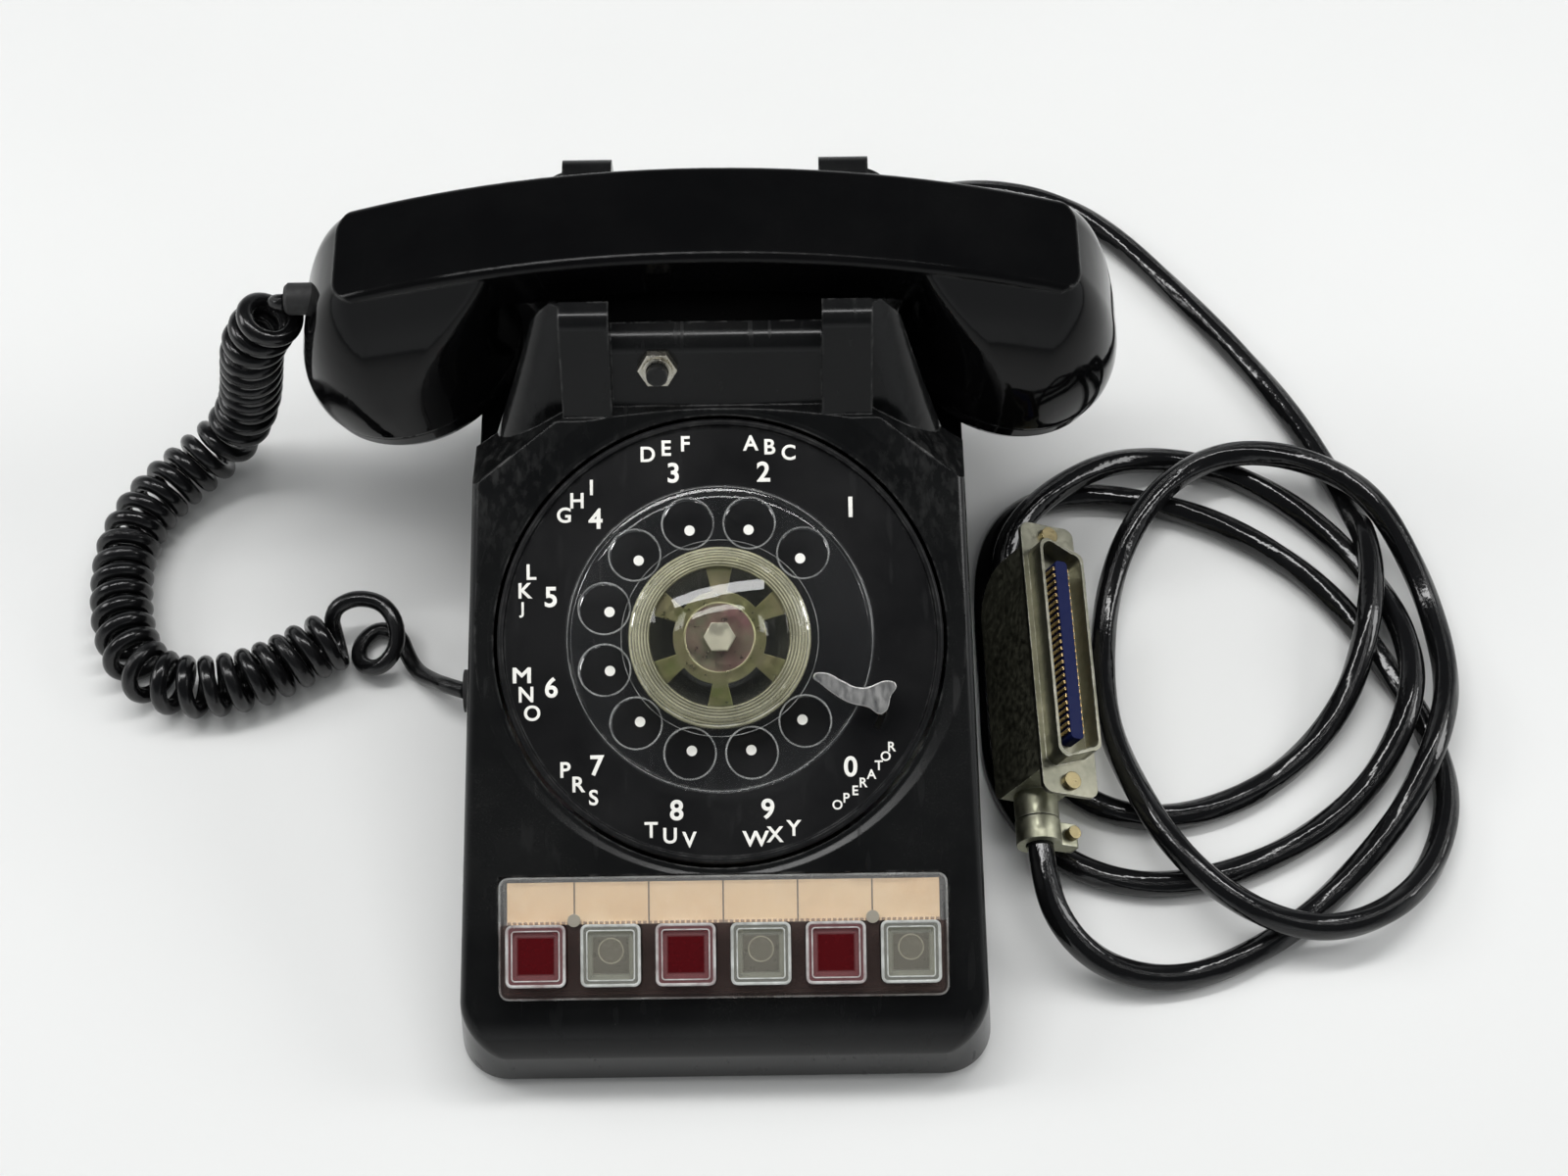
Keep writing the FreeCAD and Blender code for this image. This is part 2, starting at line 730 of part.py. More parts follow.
# Dial
def stop_slot_corners(half_width):
    """Slot in the number plate that the finger stop's leg goes through."""
    start, end = Vector(45.5, -20.4, 0), Vector(43.2, -25.4, 0)
    across = (end - start).normalize().cross(Z_AXIS) * half_width
    return [((start + across).x, (start + across).y), ((end + across).x, (end + across).y),
            ((end - across).x, (end - across).y), ((start - across).x, (start - across).y)]


def build_number_plate():
    radius, bead = cell("number_plate_radius"), cell("number_plate_bead")
    low = -cell("number_plate_thickness")
    body = turned("number_plate_body", [
        (5.2, low), (radius, low), (radius, 0.6), (radius - 0.6, 1.2), (bead + 0.4, 1.2), (bead, 0.0),
        (5.2, 0.0)])
    slot = new_sketch(body, "stop_slot")
    outline(slot, stop_slot_corners(0.9))
    pocket(body, slot, 6.0, symmetric=True)
    piece(on_panel(body), "number_plate")


def build_finger_stop():
    body = new_body("finger_stop_body")
    arm = new_sketch(body, "stop_arm", lift=cell("stop_height"))
    outline(arm, [(27.5, -8.9, 21.0), (45.8, -12.0), (49.2, -11.8), (45.9, -21.0, -33.0),
                  (26.0, -10.4, -1.1)])
    pad(body, arm, cell("stop_thickness"))
    leg = new_sketch(body, "stop_leg", lift=-5.0)
    outline(leg, stop_slot_corners(0.9))
    pad(body, leg, cell("stop_height") + cell("stop_thickness") + 5.0)
    piece(on_panel(body), "finger_stop")


def build_dial_can():
    radius, wall = cell("can_radius"), cell("can_wall")
    low, high = -cell("can_depth"), -cell("number_plate_thickness")
    body = turned("dial_can_body", [
        (cell("shaft_radius") + 0.15, low), (radius, low), (radius, high), (radius - wall, high),
        (radius - wall, low + wall), (cell("shaft_radius") + 0.15, low + wall)])
    piece(on_panel(body), "dial_can")
    legs = new_body("dial_bracket_body")
    foot_z = SIZES["housing_floor"] + 0.5 + SIZES["plate_thickness"]
    side = new_sketch(legs, "bracket_side", "YZ_Plane")
    depth = DIAL_CENTRE - PANEL_NORMAL * SIZES["can_depth"]
    low_end, high_end = depth - UP_SLOPE * 15.0, depth + UP_SLOPE * 15.0
    outline(side, [(low_end.y, foot_z), (high_end.y, foot_z), (high_end.y, high_end.z),
                   (low_end.y, low_end.z)])
    pad(legs, side, 52.0, symmetric=True)
    room = new_sketch(legs, "bracket_room", "XZ_Plane")
    outline(room, rounded_box(-24.0, 24.0, foot_z + 2.0, 80.0, 3.0))
    pocket(legs, room, 120.0, symmetric=True)
    piece(legs, "dial_bracket")


def build_finger_wheel():
    top = cell("wheel_top")
    low = top - cell("wheel_thickness")
    edge = cell("wheel_radius")
    hub = cell("spigot_radius") + 0.1
    body = turned("finger_wheel_body", [
        (hub, low), (edge - 1.6, low), (edge - 1.6, 1.2), (edge, 1.2), (edge, top - 1.2),
        (edge - 1.2, top), (hub, top)])
    angle = math.radians(SIZES["first_hole_angle"])
    x, y = SIZES["finger_circle"] * math.sin(angle), SIZES["finger_circle"] * math.cos(angle)
    rim = new_sketch(body, "hole_rim", lift=top - 1.0)
    circle(rim, cell("finger_hole") + cell("hole_rim"), x, y)
    raised = pad(body, rim, cell("hole_rim_rise") + 1.0)
    hole = new_sketch(body, "finger_hole", lift=0.0)
    circle(hole, cell("finger_hole"), x, y)
    opened = pocket(body, hole, 20.0, upward=True)
    polar_pattern(body, [raised, opened], 10, SIZES["finger_sweep"])
    piece(on_panel(body), "finger_wheel")


def build_dial_centre():
    top = cell("wheel_top")
    plate = new_body("clamp_plate_body")
    disc = new_sketch(plate, "clamp_disc", lift=top)
    circle(disc, cell("clamp_radius"))
    circle(disc, 2.3)
    pad(plate, disc, cell("clamp_thickness"))
    window = new_sketch(plate, "clamp_window", lift=top)
    outline(window, [(12.0, -4.5), (18.5, -6.5, 19.6), (18.5, 6.5), (12.0, 4.5, -12.8)])
    opened = pocket(plate, window, 4.0, upward=True)
    polar_pattern(plate, [opened], 6)
    piece(on_panel(plate), "clamp_plate")
    radius, rise, wall = cell("cap_radius"), cell("cap_rise"), cell("cap_wall")
    cap = turned("centre_cap_body", [
        (radius - wall, top), (radius, top), (radius, top + 1.7), (radius - 1.6, top + 2.6),
        (radius - 2.2, top + 3.9), (radius - 5.5, top + 5.1), (0.0, top + rise),
        (0.0, top + rise - wall), (radius - 6.0, top + 5.1 - wall), (radius - 3.4, top + 3.3),
        (radius - 2.8, top + 2.0), (radius - wall, top + 1.2)])
    piece(on_panel(cap), "centre_cap")
    head = DOC.addObject("Part::Prism", "hub_screw_head")
    head.Polygon = 6
    set_size(head, "Circumradius", cell("hub_screw_radius"))
    head.Height = 3.0
    seat = SIZES["wheel_top"] + SIZES["clamp_thickness"]
    head.Placement = PANEL.multiply(Placement(Vector(0, 0, seat), Rotation()))
    shank = rod("hub_screw_shank", 2.0, 14.0, Vector(0, 0, seat - 14.0), Z_AXIS, PANEL)
    piece(fuse("hub_screw", [head, shank]), "dial_hub_screw")
    radius, spigot, flange = cell("shaft_radius"), cell("spigot_radius"), cell("shaft_flange")
    low = top - cell("wheel_thickness")
    shaft = turned("dial_shaft_body", [
        (0.0, -28.0), (radius, -28.0), (radius, low - 2.5), (flange, low - 2.5), (flange, low),
        (spigot, low), (spigot, top - 0.1), (2.1, top - 0.1), (2.1, -8.0), (0.0, -8.0)])
    piece(on_panel(shaft), "dial_shaft")


def toothed_wheel(name, teeth, root, tip, root_width, tip_width, bore, start):
    """Spur gear with straight-sided teeth, cut thin for a free mesh."""
    body = new_body(name)
    level = cell("gear_top") - cell("gear_face")
    disc = new_sketch(body, name + "_disc", lift=level)
    circle(disc, root)
    if bore:
        circle(disc, bore)
    pad(body, disc, cell("gear_face"))
    tooth = new_sketch(body, name + "_tooth", lift=level)
    turn = Rotation(Z_AXIS, start)
    flank = [(root - 0.4, -root_width / 2), (tip, -tip_width / 2), (tip, tip_width / 2),
             (root - 0.4, root_width / 2)]
    places = [turn.multVec(Vector(x, y, 0)) for x, y in flank]
    outline(tooth, [(place.x, place.y) for place in places])
    first = pad(body, tooth, cell("gear_face"))
    polar_pattern(body, [first], teeth)
    return body


def build_dial_train():
    module = SIZES["gear_module"]
    gear_pitch = module * SIZES["gear_teeth"] / 2
    pinion_pitch = module * SIZES["pinion_teeth"] / 2
    gear = toothed_wheel("main_gear_body", SIZES["gear_teeth"], gear_pitch - 1.3, gear_pitch + 0.7,
                         1.4, 0.6, cell("shaft_radius"), 0.0)
    piece(on_panel(gear), "main_gear")
    centre = PANEL.multiply(Placement(Vector(-gear_pitch - pinion_pitch, 0, 0), Rotation()))
    half_tooth = 180.0 / SIZES["pinion_teeth"]
    pinion = toothed_wheel("pinion_body", SIZES["pinion_teeth"], pinion_pitch - 1.4, pinion_pitch + 0.6,
                           1.3, 0.6, 1.5, half_tooth)
    pinion.Placement = centre
    cup = turned("governor_body", [
        (0.0, -24.2), (1.5, -24.2), (1.5, -21.0), (cell("governor_radius"), -21.0),
        (cell("governor_radius"), -12.5), (1.5, -12.5), (1.5, -3.0), (0.0, -3.0)])
    cup.Placement = centre
    piece(fuse("governor_fused", [pinion, cup]), "governor")


# Key strip
def key_places():
    pitch = SIZES["key_pitch"]
    return [(index - 2.5) * pitch for index in range(6)]


def build_key_strip():
    half, low, high = cell("cover_half"), cell("cover_bottom"), cell("cover_top")
    lip = cell("cover_lip")
    cover = new_body("key_cover_body")
    plan = new_sketch(cover, "cover_plan")
    outline(plan, rounded_box(-half, half, low, high, cell("cover_corner")))
    pad(cover, plan, cell("cover_thickness"))
    recess = new_sketch(cover, "cover_recess")
    outline(recess, rounded_box(lip - half, half - lip, low + lip, high - lip, cell("cover_corner") - lip))
    pocket(cover, recess, cell("cover_recess"), upward=True)
    windows = new_sketch(cover, "cover_windows")
    across, tall = cell("key_width") / 2 + cell("key_gap"), cell("key_height") / 2 + cell("key_gap")
    for x in key_places():
        outline(windows, rounded_box(-across + x, across + x, cell("key_y") - tall, cell("key_y") + tall,
                                     cell("key_corner") + cell("key_gap")))
    pocket(cover, windows, 10.0, upward=True)
    piece(on_panel(cover), "key_cover")
    strip_half = SIZES["cover_half"] - 2.2
    strip_top = SIZES["cover_top"] - 1.4
    strip = box("strip_block", (-strip_half, strip_top - SIZES["strip_height"], 0.0),
                (strip_half, strip_top, 0.45), PANEL)
    piece(strip, "designation_strip")
    screws = []
    for side in (-1, 1):
        at = Vector(side * 2 * SIZES["key_pitch"], SIZES["key_y"] + 9.6, 0)
        head = rod("cover_screw_head", 1.8, 0.9, at + Z_AXIS * SIZES["cover_thickness"], Z_AXIS, PANEL)
        screws.append(head)
    piece(group("cover_screw_group", screws), "cover_screws")
    frame = new_body("key_frame_body")
    level = cell("frame_level")
    base = new_sketch(frame, "frame_base", lift=level)
    wide = cell("frame_half")
    outline(base, rounded_box(-wide, wide, -97.5, -76.0, 2.0))
    pad(frame, base, -level - cell("wall"))
    room = new_sketch(frame, "frame_room", lift=level + 1.5)
    outline(room, rounded_box(-wide + 1.5, wide - 1.5, -120.0, -40.0, 1.0))
    pocket(frame, room, 40.0, upward=True)
    slots = new_sketch(frame, "frame_slots", lift=level)
    reach = cell("stem_width") / 2 + 0.4
    for x in key_places():
        outline(slots, rounded_box(-reach + x, reach + x, cell("key_y") - reach,
                                   cell("key_y") + reach, 0.4))
    pocket(frame, slots, 6.0, upward=True)
    piece(on_panel(frame), "key_frame")
    lamp_y, lamp_z = SIZES["key_y"] - 7.6, SIZES["frame_level"] + 1.5
    lamps = [rod("lamp", 1.7, 6.5, Vector(x, lamp_y, lamp_z), Z_AXIS, PANEL) for x in key_places()]
    piece(group("lamp_group", lamps), "key_lamps")


def build_key(index, x):
    """One square key: a clear hollow cap over a coloured lens on its stem."""
    across, tall, wall = cell("key_width") / 2, cell("key_height") / 2, cell("key_wall")
    middle = cell("key_y")
    cap = new_body("key_cap_body_%d" % index)
    plan = new_sketch(cap, "key_plan_%d" % index, lift=cell("key_skirt"))
    outline(plan, rounded_box(-across + x, across + x, middle - tall, middle + tall, cell("key_corner")))
    pad(cap, plan, cell("key_rise") - cell("key_skirt"))
    inside = new_sketch(cap, "key_inside_%d" % index, lift=cell("key_skirt"))
    outline(inside, rounded_box(-across + wall + x, across - wall + x, middle - tall + wall,
                                middle + tall - wall, 0.8))
    pocket(cap, inside, cell("key_rise") - cell("key_skirt") - 2.0, upward=True)
    dish = new_sketch(cap, "key_dish_%d" % index, lift=cell("key_rise"))
    outline(dish, rounded_box(-across + wall + x, across - wall + x, middle - tall + wall,
                              middle + tall - wall, 0.8))
    pocket(cap, dish, 0.9)
    piece(on_panel(cap), "key_cap_%d" % index)
    lens = new_body("key_lens_body_%d" % index)
    half, stem = cell("lens_width") / 2, cell("stem_width") / 2
    block = new_sketch(lens, "lens_plan_%d" % index, lift=cell("lens_foot"))
    outline(block, rounded_box(-half + x, half + x, middle - half, middle + half, 0.6))
    pad(lens, block, cell("key_rise") - 2.0 - cell("lens_foot"))
    post = new_sketch(lens, "stem_plan_%d" % index, lift=cell("stem_foot"))
    outline(post, rounded_box(-stem + x, stem + x, middle - stem, middle + stem, 0.4))
    pad(lens, post, cell("lens_foot") - cell("stem_foot"))
    piece(on_panel(lens), "key_lens_%d" % index)


# Button on the cradle wall, hook switch and bell
def build_button():
    nut = DOC.addObject("Part::Prism", "button_nut_hex")
    nut.Polygon = 6
    set_size(nut, "Circumradius", cell("nut_radius"))
    nut.Height = 3.0
    nut.Placement = BUTTON.multiply(Placement(Vector(0, 0, 0.05), Rotation()))
    clear = rod("nut_bore", cell("bushing_radius"), 8.0, Vector(0, 0, -2.0), Z_AXIS, BUTTON)
    piece(cut("button_nut_cut", nut, [clear]), "button_nut")
    sleeve = rod("bushing_outside", cell("bushing_radius"), 18.0, Vector(0, 0, -14.0), Z_AXIS, BUTTON)
    bore = rod("bushing_bore", cell("button_radius") + 0.15, 40.0, Vector(0, 0, -20.0), Z_AXIS, BUTTON)
    piece(cut("bushing", sleeve, [bore]), "button_bushing")
    piece(rod("plunger", cell("button_radius"), 22.0, Vector(0, 0, -15.5), Z_AXIS, BUTTON), "push_button")


def build_hook_switch():
    plungers = []
    for side in (-1, 1):
        x = side * SIZES["horn_x"]
        post = rod("hook_post", 4.0, 18.8, Vector(x, 78.0, 90.5))
        plungers.append(post)
    piece(group("hook_plunger_group", plungers), "hook_plungers")
    pin = rod("hook_pin", 1.5, 83.6, Vector(-41.8, 100.0, 84.0), X_AXIS)
    arms = [box("hook_arm_%d" % side, (side * 36.5 - 2.5, 77.0, 87.0), (side * 36.5 + 2.5, 100.0, 90.2))
            for side in (-1, 1)]
    bar = box("hook_bar", (-39.0, 97.0, 81.5), (39.0, 102.0, 90.2))
    piece(fuse("hook_lever_fused", [pin, bar] + arms), "hook_lever")
    foot = SIZES["housing_floor"] + 0.5 + SIZES["plate_thickness"]
    cheeks = [box("hook_cheek_%d" % side, (side * 40.4 - 0.8, 94.0, foot), (side * 40.4 + 0.8, 104.0, 88.0))
              for side in (-1, 1)]
    tie = box("hook_tie", (-41.2, 94.0, foot), (41.2, 104.0, foot + 1.5))
    bracket = fuse("hook_bracket_fused", cheeks + [tie])
    hole = rod("hook_pin_hole", 1.55, 100.0, Vector(-50.0, 100.0, 84.0), X_AXIS)
    piece(cut("hook_bracket_cut", bracket, [hole]), "hook_bracket")


def build_bell():
    foot = SIZES["housing_floor"] + 0.5 + SIZES["plate_thickness"]
    for side, name in ((-1, "gong_left"), (1, "gong_right")):
        gong = turned(name + "_body", [
            (3.2, 40.0), (9.0, 40.0, -13.0), (23.0, 31.0), (24.5, 22.0), (23.5, 22.0), (22.0, 30.5, 12.0),
            (9.0, 38.6), (3.2, 38.6)])
        gong.Placement = Placement(Vector(side * 33.0, 62.0, 0), Rotation())
        piece(gong, name)
    posts = []
    for side in (-1, 1):
        post = rod("gong_post", 3.1, 42.0 - foot, Vector(side * 33.0, 62.0, foot))
        posts.append(post)
    piece(group("gong_post_group", posts), "gong_posts")
    core = box("ringer_core", (-26.0, 32.0, foot), (26.0, 35.0, 33.0))
    winding = rod("coil_winding", 9.0, 40.0, Vector(-20.0, 24.0, 19.0), X_AXIS)
    ends = [box("coil_end_%d" % side, (side * 21.0 - 1.0, 14.0, foot), (side * 21.0 + 1.0, 35.0, 30.0))
            for side in (-1, 1)]
    tabs = [box("clapper_tab_%d" % level, (-5.0, 34.0, level), (5.0, 43.0, level + 1.5))
            for level in (19, 31)]
    pin = rod("clapper_pin", 1.0, 13.5, Vector(0, 39.5, 19.0))
    piece(fuse("ringer_fused", [core, winding, pin] + ends + tabs), "ringer_coil")
    stem = rod("clapper_stem", 1.2, 22.5, Vector(0, 39.5, 26.0), Y_AXIS)
    ball = DOC.addObject("Part::Sphere", "clapper_ball")
    ball.Radius = 3.6
    ball.Placement = Placement(Vector(0, 62.0, 26.0), Rotation())
    hub = rod("clapper_hub", 2.6, 9.9, Vector(0, 39.5, 20.8))
    eye = rod("clapper_eye", 1.05, 20.0, Vector(0, 39.5, 16.0))
    piece(cut("clapper_bored", fuse("clapper_fused", [stem, ball, hub]), [eye]), "clapper")
    block = new_body("network_body")
    plan = new_sketch(block, "network_plan", lift=foot)
    outline(plan, rounded_box(-36.0, 36.0, -66.0, -27.0, 3.0))
    pad(block, plan, 19.0)
    piece(block, "network_block")


# Handset
def cup_frame(side):
    at = Vector(side * SIZES["cup_x"] + SIZES["handset_x"], SIZES["handset_y"], SIZES["cap_face_z"])
    return Placement(at, Rotation(Y_AXIS, side * SIZES["cup_tilt"]))


def cup_body():
    """Right-hand cup: a round seam below drawn up into the handle's flat-topped end."""
    body = new_body("cup_right")
    round_half = cell("cup_radius")
    levels = [
        (cell("cap_thickness"), -round_half, round_half, round_half, round_half - 0.2),
        (24.0, -31.5, 29.0, 31.2, 27.0),
        (36.0, -34.0, 23.0, 27.2, 20.5),
        (46.0, -39.0, 16.2, 21.6, 13.0),
        (55.3, -44.0, 6.2, 15.3, 7.0),
    ]
    sketches = []
    for index, (level, left, right, half, bend) in enumerate(levels):
        sketch = new_sketch(body, "cup_level_%d" % index, lift=level)
        outline(sketch, rounded_box(left, right, -half, half, bend))
        sketches.append(sketch)
    loft = body.newObject("PartDesign::AdditiveLoft", "cup_loft")
    loft.Profile = sketches[0]
    loft.Sections = sketches[1:]
    body.Placement = cup_frame(1)
    return body


def build_handset():
    bar = new_body("handle_bar")
    section = new_sketch(bar, "handle_section", "YZ_Plane")
    middle, top = cell("handset_y"), cell("handle_top")
    half, foot = cell("handle_half"), cell("handle_foot_half")
    low, bend = top - cell("handle_thickness"), cell("handle_round")
    outline(section, [(middle - foot + bend, low), (middle + foot - bend, low, 4.0),
                      (middle + foot, low + bend), (middle + half, top - 2.0, 2.4),
                      (middle + half - 2.0, top), (middle - half + 2.0, top, 2.4),
                      (middle - half, top - 2.0), (middle - foot, low + bend, 4.0)])
    axis_z = top - cell("handle_arch")
    line = Part.LineSegment(Vector(0, axis_z.value, 0), Vector(200, axis_z.value, 0))
    section.addGeometry(line, True)
    revolve(bar, section, cell("handle_sweep"), "Axis0", midplane=True)
    plan_body = new_body("handle_plan")
    plan = new_sketch(plan_body, "handle_plan_outline", lift=cell("handle_top") - 60.0)
    reach, side_half = cell("handle_reach"), half + 0.2
    outline(plan, rounded_box(-reach, reach, middle - side_half, middle + side_half, cell("handle_corner")))
    pad(plan_body, plan, 70.0)
    for body in (bar, plan_body):
        body.Placement = Placement(Vector(SIZES["handset_x"], 0, 0), Rotation())
        body.setExpression("Placement.Base.x", "sizes.handset_x")
    ended = common("handle_rounded", bar, plan_body)
    cup = cup_body()
    whole = fuse("handset_fused", [ended, cup, mirrored("cup_left", cup, SIZES["handset_x"])])
    seats = []
    for side in (-1, 1):
        seats.append(rod("cup_seat_%d" % side, 26.2, 18.0, Vector(0, 0, SIZES["cap_thickness"] - 1.0),
                         Z_AXIS, cup_frame(side)))
    boot_at = Vector(SIZES["boot_tip_x"], SIZES["handset_y"], SIZES["boot_z"])
    socket = rod("boot_socket", cell("boot_radius"), 22.0, boot_at, X_AXIS)
    piece(cut("handset_hollowed", whole, seats + [socket]), "handset_handle")
    boot = turned("boot_body", [(0.0, 0.0), (3.8, 0.0), (4.7, 1.0), (4.7, 22.0), (0.0, 22.0)])
    boot.Placement = Placement(boot_at, Rotation(Z_AXIS, X_AXIS))
    piece(boot, "handset_boot")
    for side, cap_name, unit_name, holes in ((-1, "transmitter_cap", "transmitter_unit", 10),
                                             (1, "receiver_cap", "receiver_unit", 6)):
        radius, thick = cell("cup_radius"), cell("cap_thickness")
        cap = turned(cap_name + "_body", [
            (0.0, 1.6), (14.0, 0.6), (25.0, 0.0), (radius - 2.4, 1.4), (radius - 0.8, 4.2), (radius, thick),
            (27.6, thick), (27.2, 4.4), (24.0, 3.0), (0.0, 4.0)])
        hole = new_sketch(cap, cap_name + "_hole")
        circle(hole, 1.3, 9.0, 0.0)
        opened = pocket(cap, hole, 8.0, upward=True)
        polar_pattern(cap, [opened], holes)
        cap.Placement = cup_frame(side)
        piece(cap, cap_name)
        unit = turned(unit_name + "_body", [
            (0.0, 5.0), (20.0, 5.0), (25.6, 6.5), (25.6, 12.0), (21.0, 14.0), (18.0, 22.0), (0.0, 22.0)])
        unit.Placement = cup_frame(side)
        piece(unit, unit_name)


# Cords
def connector_frame():
    lean, tilt, yaw = 26.0, 3.0, 1.8
    turn = Rotation(Z_AXIS, yaw).multiply(Rotation(X_AXIS, tilt)).multiply(Rotation(Y_AXIS, lean))
    return Placement(Vector(97.0, -8.0, 37.8), turn)


CONNECTOR = connector_frame()

CABLE_ROUTE = [
    (20, 125, 14), (20, 140, 12.5), (25, 156, 9), (38, 173, 5.5), (60, 186, 4.1), (87, 190, 4.1),
    (113, 183, 4.1), (133, 165, 4.1), (150, 143, 4.1), (167, 120, 4.1), (181, 97, 4.1), (190.5, 76, 4.2),
    (196, 60, 5.5), (198, 46, 12.8), (197.5, 30, 14), (194, 12, 13.4), (187, -6, 7.5), (174, -23, 4.1),
    (155, -37, 4.1), (134, -44, 4.1), (113, -42, 4.1), (97.5, -30, 4.1), (91, -13, 4.1), (90, 6, 5.5),
    (86.8, 24, 10.3), (85, 40, 13.8), (91, 54, 14), (104, 66.5, 13.8), (119.5, 76.5, 11), (137, 81, 5.5),
    (156, 78, 4.1), (175, 66.5, 4.1), (191, 50, 4.1), (202, 32, 4.5), (207, 13, 9.5), (206, -6, 13.6),
    (200, -22, 11), (188, -38, 5), (170, -52, 4.1), (148, -62, 4.1), (126, -66, 4.1), (104, -61, 4.1),
    (88, -47, 4.1), (80.6, -28, 4.1), (80.1, -6, 4.1), (80.2, 14, 4.1), (80.2, 31, 4.1), (81.5, 46, 4.1),
    (86.5, 58, 4.1), (96.5, 66, 4.1), (111, 69, 4.1), (128, 67, 4.1), (146, 61.5, 4.1), (163, 52.5, 4.1),
    (179, 39.5, 4.1), (192, 23, 4.1), (202, 3, 4.1), (211, -16, 4.1), (214.5, -37, 4.3), (208, -59, 6),
    (194, -76, 11), (176, -84, 13.6), (158, -81.5, 13.6), (142, -71, 13.6), (128.5, -55, 13.6),
    (119, -35, 12.8),
    (114, -13, 8), (114, 9, 5.5), (117, 30, 7), (124, 49, 12.5), (136, 66, 14), (153, 77, 13.4),
    (171, 78, 13.5), (187.5, 71, 15.5), (201, 58.5, 16.2), (211, 41, 10), (216.5, 21, 6.5),
    (217.5, -2, 10.5), (211, -24, 13.8), (201, -42, 8.5), (187, -59, 4.3), (169, -76, 4.1),
    (149, -89, 4.1), (128.5, -95.5, 4.5), (110.5, -93.5, 8), (98, -85, 13.5)]
CURL_ROUTE = [
    (-129, 80, 93), (-137.5, 81, 79), (-141, 84, 62), (-144, 88, 45), (-148, 90, 28), (-156, 87, 15),
    (-168, 79, 10.6), (-179, 67.5, 9.9), (-185.5, 53, 9.8), (-186, 36, 9.8), (-183.5, 20, 9.8),
    (-176.5, 6.5, 9.8), (-163, 1, 9.8), (-148, 2.5, 9.9), (-134.5, 8, 9.9), (-122, 16, 10.5),
    (-109, 20.5, 11.6)]
CURL_LEAD_IN = [(-125, 80, 98), (-131, 80, 98)]
CURL_LEAD_OUT = [(-84.5, 1, 10.5), (-78, -2, 12)]


def rounded_path(points):
    """Straight runs joined by tangent arcs, each as large as its two runs allow."""
    points = [Vector(*point) for point in points]
    edges = []
    radii = []
    start = points[0]
    for before, corner, after in zip(points, points[1:], points[2:]):
        into, onto = (corner - before), (after - corner)
        reach = 0.45 * min(into.Length, onto.Length)
        into.normalize()
        onto.normalize()
        turn = into.getAngle(onto)
        first, last = corner - into * reach, corner + onto * reach
        radius = reach / math.tan(turn / 2)
        bisector = (onto - into).normalize()
        middle = corner + bisector * (radius / math.cos(turn / 2) - radius)
        if (first - start).Length > 1e-6:
            edges.append(Part.LineSegment(start, first).toShape())
        edges.append(Part.Arc(first, middle, last).toShape())
        radii.append(radius)
        start = last
    edges.append(Part.LineSegment(start, points[-1]).toShape())
    return Part.Wire(edges), radii


def swept(path, section):
    maker = Part.BRepOffsetAPI.MakePipeShell(path)
    maker.add(section)
    maker.build()
    maker.makeSolid()
    return maker.shape()


def build_cable():
    snout = Vector(0, -SIZES["hood_reach"] - 8.0, -18.0)
    ends = [CONNECTOR.multVec(snout - Y_AXIS * back) for back in (20.0, 0.0)]
    path, radii = rounded_path(CABLE_ROUTE + [tuple(end) for end in ends])
    radius = SIZES["cable"] / 2
    start = Vector(*CABLE_ROUTE[0])
    heading = (Vector(*CABLE_ROUTE[1]) - start).normalize()
    section = Part.Wire([Part.Circle(start, heading, radius).toShape()])
    thing = DOC.addObject("Part::Feature", "line_cable_tube")
    thing.Shape = swept(path, section)
    piece(thing, "line_cable")
    print("line cable: length %.0f, least radius %.1f, volume ratio %.4f" % (
        path.Length, min(radii), thing.Shape.Volume / (math.pi * radius ** 2 * path.Length)))
    print("line cable radii:", [round(radius) for radius in radii])


def arc_from_tangent(start, tangent, end):
    """Circular edge that leaves start along tangent and reaches end."""
    chord = end - start
    toward = Vector(chord).normalize()
    lean = tangent.getAngle(toward)
    middle = start + (tangent + toward).normalize() * (chord.Length / 2 / math.cos(lean / 2))
    return Part.Arc(start, middle, end).toShape()


def biarc(start, tangent, end, end_tangent):
    """Two tangent arcs between two points with given directions."""
    chord = end - start
    both = tangent + end_tangent
    spread = 2 * (1 - tangent.dot(end_tangent))
    lean = chord.dot(both)
    if spread < 1e-9:
        reach = chord.Length ** 2 / (2 * lean)
    else:
        reach = (math.sqrt(lean ** 2 + spread * chord.Length ** 2) - lean) / spread
    joint = (start + end + (tangent - end_tangent) * reach) * 0.5
    into_joint = (end - end_tangent * reach - start - tangent * reach).normalize()
    return [arc_from_tangent(start, tangent, joint), arc_from_tangent(joint, into_joint, end)]


